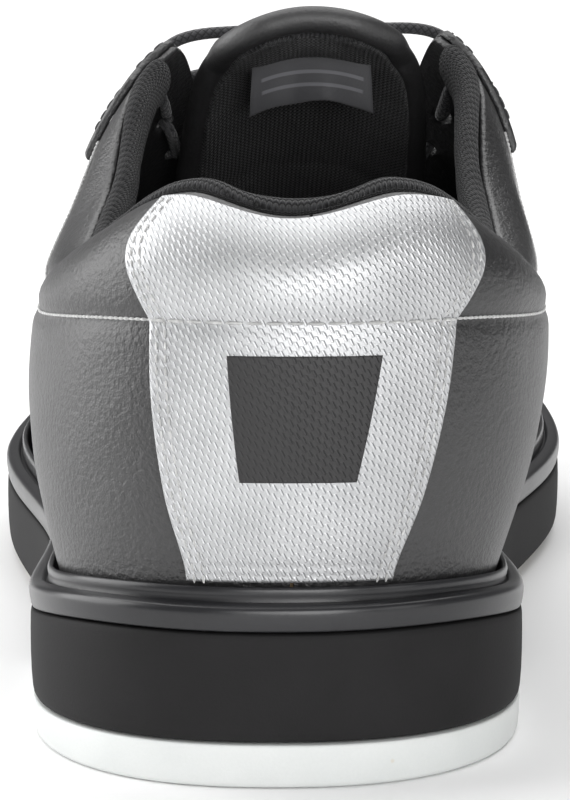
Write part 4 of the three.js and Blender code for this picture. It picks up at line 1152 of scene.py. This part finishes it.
def build_collar():
    """The padded lining: up the inside of the pad, over its top and down to the leather's edge."""
    q = np.linspace(-COLLAR_END, COLLAR_END, 190)[:, None]
    wall, roll = COLLAR_WALL_ROWS, COLLAR_ROLL_ROWS
    j = np.arange(wall + roll + 1)[None, :]
    v = mix(0.05, 1.0, np.minimum(j / wall, 1)) + 0 * q
    q = q + 0 * v
    flat, across = j <= wall, clamp((j - wall) / roll) + 0 * q
    up = unit(unit(on_form(q, 0 * q + 1) - on_form(q, 0 * q + 0.985)) + [0, 0, 1])

    def surface(distance):
        base = LEATHER + 2 * PAD_GAP + collar_pad(q, v) + end_clearance(q)
        depth = base + LINING
        angle = across * 2.75
        skin = np.where(flat, -depth, -depth / 2 * (1 + np.cos(angle)))
        height = np.where(flat, 0.0, ROLL_HEIGHT * np.sin(angle))
        inner = np.where(flat, -base, -base * (1 - across) - 0.3 * across)
        low = np.where(flat, 0.0, PAD_GAP * np.minimum(across * 4, 1))
        share = np.asarray(distance) + 0 * q
        offset, rise = mix(inner, skin, share), mix(low, height, share)
        rise = rise + end_clearance(q) * clamp(across * 4)
        return off_form(q, v, offset) + up * rise[..., None]

    def puff(base, edge):
        seam_line = hump(down(q, v), COLLAR_SEW, 1.6) * (across <= 0)
        return 0.15 * wave(base, 9.0, 1.0) - 0.4 * seam_line

    def held(edge):
        sewn = (np.abs(down(q, v) - COLLAR_SEW) < 0.9) & (across <= 0)
        return (sewn | (edge < 0.9)).astype(float)

    obj = plate("collar_padding", surface, 0.0, 1.0, "lrbt", soft=1.0, swell=puff, held=held)
    fill(obj, 6.0, 1.3)
    settle(obj, "shoe", "lining_mesh", "collar_lining", "collar_foam")


def build_linings():
    for side, name in SIDES.items():
        q = mirrored(mix(COLLAR_END + 0.6 * PER_MM, 0.615, shares(60, 2.0))[:, None], side)
        v = mix(0.03, below_top(q, EYESTAY + 3), shares(60, 2.0)[None, :])
        depth = LEATHER + 1.4 * PAD_GAP
        obj = plate("side_lining_" + name, curved(q, v), -depth, -depth - LINING)
        settle(obj, "shoe", "lining_mesh", "quarter_lining_" + name)
    q, v = forepart(lambda t: 0.665 + 0 * t, shares(120, 2.4), shares(75, 2.4), close=False)
    depth = LEATHER + PAD_GAP + 1.1 + 2.4 * PAD_GAP
    obj = plate("toe_lining", curved(q, v), -depth, -depth - LINING, "l")
    settle(obj, "shoe", "lining_mesh", "vamp_lining")


TONGUE_WIDTH = Track([(113, 18.8), (128, 20.2), (136, 22.5), (158, 25), (200, 14)])


def tongue_half(y, shrink=0.0):
    radius = TONGUE_CORNER - shrink
    return TONGUE_WIDTH(y) - shrink - radius * (1 - arc((y - TONGUE_TOP - shrink) / radius))


def tongue_drop(y):
    return mix(TONGUE_DROP, LEATHER + GAP, smooth((y - THROAT_END + 3) / 9))


def fold_ends():
    y = FOLD_Y + np.array([FOLD_HALF, -FOLD_HALF])
    return [tuple((p + SHIFT) * MM) for p in on_throat(y, 0 * y, -tongue_drop(y) - TONGUE_DEPTH / 2)]


def bend(obj, look, *nodes):
    """Settles a piece that lies across the fold: gives it its material, bakes its place into its mesh and
    hides the CAD nodes it stands for.
    """
    settle(obj, None, look)
    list(fold_ends())
    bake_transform(obj)
    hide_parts(*nodes)


def build_tongue():
    s = np.linspace(0, 1, 84)[:, None]
    y = mix(TONGUE_TOP, TONGUE_ROOT, s**1.25)
    x = np.sin(np.linspace(-1, 1, 45) * math.pi / 2)[None, :] * tongue_half(y)
    y = y + 0 * x

    def surface(distance):
        return on_throat(y, x, -tongue_drop(y) - distance)

    def front(base, edge):
        plump = arc(edge / PILLOW_SIDE)
        return (1 - plump) * 1.5 - 0.12 * wave(base, 8.0, 4.0) * plump

    def back(base, edge):
        plump = arc(edge / PILLOW_SIDE)
        sewn = sum(hump(y, place, 1.3) for place in TONGUE_SEWS)
        return (plump - 1) * 1.4 - 0.5 * sewn * plump + 0.15 * wave(base, 7.0, 5.0) * plump

    def held(edge):
        sewn = np.min([np.abs(y - place) for place in TONGUE_SEWS], axis=0) < 0.7
        return (sewn | (edge < 1.2)).astype(float)

    cover = plate("tongue_cover", surface, 1.0, 0.0, "lrbt", 0.01, swell=front, held=lambda edge: edge < 1.2)
    fill(cover, 4.0, 0.5)
    bend(cover, "upper_leather", "tongue_cover_lower", "tongue_cover_upper")
    lining = plate("tongue_padding", surface, 1.6, TONGUE_DEPTH, "lrbt", 0.01, swell=back, held=held)
    fill(lining, 6.0, 1.2)
    names = ("tongue_lining_lower", "tongue_lining_upper", "tongue_foam_lower", "tongue_foam_upper")
    bend(lining, "lining_mesh", *names)


def build_binding():
    """A folded strip round the tongue's edge: down one side, over the top and down the other."""
    rows = np.linspace(0, 1, 150)
    y = mix(BINDING_FOOT, TONGUE_TOP, 1 - (1 - rows) ** 1.6)
    side = np.stack([tongue_half(y), y], -1)
    last = side[-1]
    across = np.linspace(last[0], -last[0], 30)[1:-1]
    top = np.stack([across, 0 * across + last[1]], -1)
    edge = np.concatenate([side, top, (side * [-1, 1])[::-1]])
    ahead = unit(np.gradient(edge, axis=0))
    for _ in range(6):
        ahead[1:-1] = unit(ahead[:-2] + 2 * ahead[1:-1] + ahead[2:])
    outward = np.stack([-ahead[:, 1], ahead[:, 0]], -1)
    outward *= np.sign(np.sum(outward * (edge - [0, 150]), 1, keepdims=True))
    thick = TONGUE_DEPTH - 1.5
    outline_2d = []
    for angle in np.linspace(-math.pi / 2, math.pi / 2, 13):
        outline_2d.append((0.2 + 2.3 * math.cos(angle), thick / 2 * (1 + math.sin(angle))))
    outline_2d += [(-1.6, thick - 0.25), (-3.0, thick - 0.75), (-3.0, 0.75), (-1.6, 0.25)]
    loops = []
    for out, depth in outline_2d:
        at = edge + outward * out
        loops.append(on_throat(at[:, 1], at[:, 0], -tongue_drop(at[:, 1]) - depth + 0.25))
    obj = loft("tongue_edging", stack(*loops))
    names = ("tongue_binding_upper", "tongue_binding_lateral", "tongue_binding_medial")
    bend(obj, "binding_leather", *names)


def build_label():
    """A satin tag, sewn to the tongue's lining along its upper edge and hanging from it."""
    ends = (0.1, 0.3)
    across = LABEL_WIDTH * (shares(LABEL_WIDTH, 0.8, ends) - 0.5)
    t, x = np.meshgrid(shares(LABEL_HEIGHT, 0.7, ends), across, indexing="ij")
    sewn = on_throat(0 * x + LABEL_Y, x, -tongue_drop(0 * x + LABEL_Y) - TONGUE_DEPTH - 0.3)
    slack = t * (0.9 * np.sin(x / 4.6 + 0.6) + 0.5 * np.sin(x / 2.1)) + 1.4 * np.sin(math.pi * t * 0.8)

    def surface(distance):
        return sewn + np.stack([0.03 * x * t, -slack - distance, -9.3 * t + 0.4 * slack * t], -1)

    obj = plate("tongue_label_tag", surface, 0.0, 0.45, soft=0.2)
    settle(obj, "tongue_flap", "label_satin", "tongue_label")


def lace_path():
    above = GAP + OVERLAY + PAD_GAP + LACE_R + 0.3
    below = -LEATHER - PAD_GAP - LACE_R
    places = {-1: eyelets(-1), 1: eyelets(1)}

    def spot(side, i, distance):
        q, v = places[side]
        return off_form(q[i : i + 1], v[i : i + 1], np.array([distance]))[0]

    def inside(side, a, b, share):
        q = mix(places[side][0][a], places[side][0][b], share)
        return off_form(np.array([q]), below_top(np.array([q]), EYELET_SETBACK), np.array([below]))[0]

    side = -1
    corners = [inside(side, 0, 1, 0.6)]
    for i in range(EYELETS):
        y = float(Rib(places[-1][0][i : i + 1]).centre_y[0])
        half = float(throat_half(np.array(y)))
        corners += [spot(side, i, below), spot(side, i, above)]
        for share in (1.06, 0.93, 0.5, 0.0, -0.5, -0.93, -1.06):
            edge = abs(share) > 1
            lift = above if abs(share) > 0.9 else -LACE_SAG * (1 - abs(share))
            corners.append(on_throat([y], [side * share * (half + (1.5 if edge else 0))], [lift])[0])
        side = -side
        corners += [spot(side, i, above), spot(side, i, below)]
        if i + 1 < EYELETS:
            corners.append(inside(side, i, i + 1, 0.5))
    corners.append(inside(side, EYELETS - 1, EYELETS - 2, 0.6))
    corners = np.array(corners)
    points = [corners[:1]]
    t = np.linspace(0, 1, 9)[:, None]
    for a, b, c in zip(corners[:-2], corners[1:-1], corners[2:]):
        start, end = (a + b) / 2, (b + c) / 2
        points.append((1 - t) ** 2 * start + 2 * t * (1 - t) * b + t * t * end)
    points.append(corners[-1:])
    path = np.concatenate(points)
    run = runs(path)
    keep = np.diff(run, prepend=-1) > 1e-6
    places_along = np.linspace(0, run[-1], int(run[-1] / 0.55))
    return np.stack([np.interp(places_along, run[keep], path[keep, k]) for k in range(3)], -1)


# --- stitching


@lru_cache(maxsize=None)
def stitch_group():
    """Geometry nodes: a row of short threads along each line of a curve."""
    tree = bpy.data.node_groups.new("Stitch Row", "GeometryNodeTree")
    floats = {"Spacing": 0.0026, "Length": 0.0021, "Width": 0.00035, "Unevenness": 0.06}
    sockets = [("Geometry", "Geometry", None), *[(name, "Float", value) for name, value in floats.items()]]
    for name, kind, value in sockets + [("Seed", "Int", 7), ("Thread", "Material", None)]:
        socket = tree.interface.new_socket(name, in_out="INPUT", socket_type="NodeSocket" + kind)
        if value is not None:
            socket.default_value = value
    tree.interface.new_socket("Geometry", in_out="OUTPUT", socket_type="NodeSocketGeometry")
    add = partial(add_node, tree)
    given = add("NodeGroupInput")
    settings = {"Curve": given["Geometry"], "Length": given["Spacing"]}
    points = add("GeometryNodeCurveToPoints", {"mode": "LENGTH"}, settings)
    ball = add("GeometryNodeMeshUVSphere", None, {"Segments": 8, "Rings": 7, "Radius": 0.5})
    turn = add("FunctionNodeAlignRotationToVector", {"axis": "Z"}, {"Vector": points["Tangent"]})
    sides = {"X": given["Width"], "Y": given["Width"], "Z": given["Length"]}
    thread = add("ShaderNodeCombineXYZ", None, sides)
    less = add("ShaderNodeMath", {"operation": "SUBTRACT"}, {0: 1.0, 1: given["Unevenness"]})
    more = add("ShaderNodeMath", {"operation": "ADD"}, {0: 1.0, 1: given["Unevenness"]})
    limits = {2: less[0], 3: more[0], "Seed": given["Seed"]}
    chance = add("FunctionNodeRandomValue", {"data_type": "FLOAT"}, limits)
    scale = add("ShaderNodeVectorMath", {"operation": "SCALE"}, {0: thread[0], "Scale": chance[1]})
    copies = {"Points": points["Points"], "Instance": ball["Mesh"]}
    copies |= {"Rotation": turn["Rotation"], "Scale": scale[0]}
    rows = add("GeometryNodeInstanceOnPoints", None, copies)
    rows = add("GeometryNodeRealizeInstances", None, {0: rows[0]})
    rows = add("GeometryNodeSetMaterial", None, {"Geometry": rows[0], "Material": given["Thread"]})
    add("NodeGroupOutput", None, {0: rows[0]})
    return tree


def stitch(name, lines, look, slot, spacing=2.6, length=2.15, width=0.62):
    """Rows of stitches along lines of points in mm, as one plain mesh."""
    curve = bpy.data.curves.new(name, "CURVE")
    curve.dimensions = "3D"
    for line in lines:
        spline = curve.splines.new("POLY")
        spline.points.add(len(line) - 1)
        at = np.concatenate([(line + SHIFT) * MM, np.ones((len(line), 1))], 1)
        spline.points.foreach_set("co", at.ravel())
    source = add_object(name, curve)
    modifier = source.modifiers.new("Stitch Row", "NODES")
    modifier.node_group = stitch_group()
    values = {"Spacing": spacing * MM, "Length": length * MM, "Width": width * MM, "Thread": material(look)}
    for item in modifier.node_group.interface.items_tree:
        if item.name in values:
            modifier[item.identifier] = values[item.name]
    made = applied(source)
    bpy.data.objects.remove(source)
    bpy.data.curves.remove(curve)
    made.name = name
    smooth_shaded(made)
    obj = add_object(name, made)
    flat_map(obj)
    settle(obj, "shoe", look, slot=slot)


def seam(q, v, distance):
    return curved(q, v, padded=True)(distance)


def panel_side(side, inward):
    t = np.linspace(0.02, 0.985, 120)
    q = side * (PANEL_HALF(t) - inward) * PER_MM
    return seam(q, mix(at_height(q, LIP_TOP + 0.6), 0.985, t), GAP + OVERLAY - 0.02)


def build_stitches(look):
    leather, raised = 0.1, GAP + OVERLAY + 0.05
    q = np.linspace(PANEL_EDGE * PER_MM, COLLAR_END, 500)
    rise = smooth((q - 0.2) / (COLLAR_END - 0.2))
    beads = []
    for q in (-q, q):
        beads.append(seam(q, mix(at_height(q, SEAM_HEIGHT), below_top(q, EYESTAY - 4), rise), leather + 0.1))
    q = np.linspace(-27.0, 27.0, 160) * PER_MM
    across = [seam(q, at_height(q, SEAM_HEIGHT), raised + 0.14)]
    silver = [panel_side(side, inward) for side in SIDES for inward in (1.9, 3.7)]
    black, t = [], np.linspace(0.02, 0.985, 160)
    for side in SIDES:
        for d in (2.0, 4.2):
            black.append(seam(mirrored(quarter_front(t) - d * PER_MM, side), t * 0.94 + 0.03, leather))
            black.append(seam(mirrored(toe_cap_start(t) + d * PER_MM, side), mix(0.12, 1, t), raised))
        q = mirrored(np.linspace(COLLAR_END + 0.002, 0.612, 140), side)
        for d in (1.7, EYESTAY - 1.8, EYESTAY - 3.9):
            black.append(seam(q, below_top(q, d), raised))
    spacing, length, width = look.stitch_spacing, look.stitch_length, look.thread_width
    stitch("heel_seam_stitching", across, "thread_white", "lace_cord", spacing, length, width)
    spacing = look.bead_spacing
    stitch("collar_seam_stitching", beads, "thread_white", "lace_cord", spacing, 1.15 * spacing, width)
    stitch("panel_stitching", silver, "thread_white", "silver_panel", 2.1, 1.5, 0.42)
    stitch("upper_stitching", black, "thread_black", "lace_cord", width=0.5)


# --- stage

FLOOR_HALF = 6.0
CAMERA_AIM = (1.5, 33.7, 60.0)
LIGHTS_AIM = Vector((0, 0, 0.05))


def build_stage(look):
    mesh, far = bpy.data.meshes.new("floor"), FLOOR_HALF
    mesh.from_pydata([(-far, -far, 0), (far, -far, 0), (far, far, 0), (-far, far, 0)], [], [(0, 1, 2, 3)])
    stage = [add_object("floor", mesh)]
    kit = Material("pale_floor", specular_ior_level=0.2)
    cloud = kit.noise(400.0, 2.0)
    colour = kit.colour(cloud, (0.86, 0.86, 0.86), (0.9, 0.9, 0.9))
    mesh.materials.append(kit.finish(colour, 0.7 + cloud * 0.05))
    lights = (
        ("overhead", (0.0, 1.0, 2.6), 4.0, look.top_power),
        ("left", (-1.25, 0.2, 0.5), 1.5, look.left_power),
        ("front", (0.25, -1.5, 0.5), 0.9, look.front_power),
        ("right", (1.2, -0.9, 0.5), 0.8, look.right_power),
    )
    for name, spot, width, watts in lights:
        data = bpy.data.lights.new(name, "AREA")
        data.shape, data.size, data.energy = "DISK", width, watts
        lamp = add_object(name, data)
        lamp.location = spot
        lamp.rotation_euler = (LIGHTS_AIM - Vector(spot)).to_track_quat("-Z", "Y").to_euler()
        stage.append(lamp)
    world = bpy.data.worlds.new("studio")
    world.use_nodes = True
    colour, strength = world.node_tree.nodes["Background"].inputs[:2]
    colour.default_value, strength.default_value = (1, 1, 1, 1), look.world_power
    bpy.context.scene.world = world
    camera = add_object("camera", bpy.data.cameras.new("camera"))
    aim = (np.array(CAMERA_AIM) + SHIFT) * MM
    angle, distance = math.radians(look.camera_height), look.camera_distance
    camera.location = Vector(aim) + Vector((0, -math.cos(angle), math.sin(angle))) * distance
    camera.rotation_euler = (Vector(aim) - camera.location).to_track_quat("-Z", "Y").to_euler()
    camera.data.lens = look.camera_lens
    camera.data.clip_start = 0.01
    bpy.context.scene.camera = camera
    bpy.context.scene.view_settings.view_transform = "Standard"


# --- add-on


def size(name, value, about):
    return FloatProperty(name=name, description=about + ", in mm", default=value)


def power(name, value):
    return FloatProperty(name=name, description="Power, in watts", default=value)


class ShoeLook(bpy.types.PropertyGroup):
    """Sizes and lights of the shoe's look."""

    stitch_spacing: size("Stitch spacing", 3.3, "From stitch to stitch across the heel")
    stitch_length: size("Stitch length", 2.9, "Length of one stitch across the heel")
    thread_width: size("Thread width", 0.6, "Width of the white thread")
    bead_spacing: size("Bead spacing", 1.25, "From bead to bead of the collar's seam")
    lace_sides: IntProperty(name="Lace sides", description="Facets round the lace", default=14)
    top_power: power("Overhead light", 105.0)
    left_power: power("Left light", 22.0)
    front_power: power("Front light", 14.0)
    right_power: power("Right light", 2.6)
    world_power: FloatProperty(name="Surroundings", description="Strength of the surroundings", default=0.12)
    camera_height: FloatProperty(name="Camera height", description="Angle, in degrees", default=11.0)
    camera_distance: FloatProperty(name="Camera distance", default=0.95, subtype="DISTANCE", unit="LENGTH")
    camera_lens: size("Camera lens", 250.0, "Focal length")


class ShoeOperator:
    bl_options = {"REGISTER", "UNDO"}
    builders = ()

    def execute(self, context):
        for build in self.builders:
            build()
        self.finish(context.scene.shoe_look)
        return {"FINISHED"}

    def finish(self, look):
        """What an operator does after its builders."""


class SHOE_OT_sole(ShoeOperator, bpy.types.Operator):
    """Build the cup sole, the foam wedge, the rubber heel and the slide sole"""

    bl_idname, bl_label = "shoe.sole", "Sole"

    builders = build_cup, build_wedge, build_heel, build_pad


class SHOE_OT_upper(ShoeOperator, bpy.types.Operator):
    """Build the leather panels and the silver heel panel"""

    bl_idname, bl_label = "shoe.upper", "Upper"

    builders = *(partial(make, side) for side in SIDES for make in (build_quarter, build_eyestay)), build_vamp
    builders += build_toe_cap, build_heel_panel


class SHOE_OT_inside(ShoeOperator, bpy.types.Operator):
    """Build the padded collar, the linings and the insole, and finish the parts that are out of sight"""

    bl_idname, bl_label = "shoe.inside", "Collar and linings"

    builders = build_collar, build_linings, build_footbed

    def finish(self, look):
        hidden = dict.fromkeys(("insole_board", "heel_counter", "toe_puff"), "fibreboard")
        hidden |= {"footbed": "pad_foam", "shank": "shank_steel"}
        for node, look_name in hidden.items():
            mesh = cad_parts[node].data
            mesh.materials.clear()
            mesh.materials.append(material(look_name))


class SHOE_OT_tongue(ShoeOperator, bpy.types.Operator):
    """Build the padded tongue with its edging and label"""

    bl_idname, bl_label = "shoe.tongue", "Tongue"

    builders = build_tongue, build_binding, build_label


class SHOE_OT_lace(ShoeOperator, bpy.types.Operator):
    """Build the lace"""

    bl_idname, bl_label = "shoe.lace", "Lace"

    def finish(self, look):
        settle(tube("braided_lace", lace_path(), LACE_R, look.lace_sides), "shoe", "lace_cord", "lace")


class SHOE_OT_stitches(ShoeOperator, bpy.types.Operator):
    """Sew the seams"""

    bl_idname, bl_label = "shoe.stitches", "Stitching"

    def finish(self, look):
        build_stitches(look)


class SHOE_OT_stage(ShoeOperator, bpy.types.Operator):
    """Set out the floor, the lights and the camera"""

    bl_idname, bl_label = "shoe.stage", "Stage"

    def finish(self, look):
        build_stage(look)


OPERATORS = (
    SHOE_OT_sole, SHOE_OT_upper, SHOE_OT_inside, SHOE_OT_tongue,
    SHOE_OT_lace, SHOE_OT_stitches, SHOE_OT_stage,
)


class SHOE_PT_panel(bpy.types.Panel):
    """Buttons for each group of pieces"""

    bl_label = "Bowling Shoe"
    bl_space_type = "VIEW_3D"
    bl_region_type = "UI"
    bl_category = "Shoe"

    def draw(self, context):
        look = context.scene.shoe_look
        for name in look.bl_rna.properties.keys():
            if name not in ("rna_type", "name"):
                self.layout.prop(look, name)
        for operator in OPERATORS:
            self.layout.operator(operator.bl_idname)


CLASSES = (ShoeLook, *OPERATORS, SHOE_PT_panel)


def register():
    for cls in CLASSES:
        bpy.utils.register_class(cls)
    bpy.types.Scene.shoe_look = PointerProperty(type=ShoeLook)


def unregister():
    del bpy.types.Scene.shoe_look
    for cls in reversed(CLASSES):
        bpy.utils.unregister_class(cls)


def main():
    register()
    for operator in OPERATORS:
        group, name = operator.bl_idname.split(".")
        if getattr(getattr(bpy.ops, group), name)() != {"FINISHED"}:
            raise RuntimeError(operator.bl_idname + " did not finish")


if __name__ == "__main__":
    main()
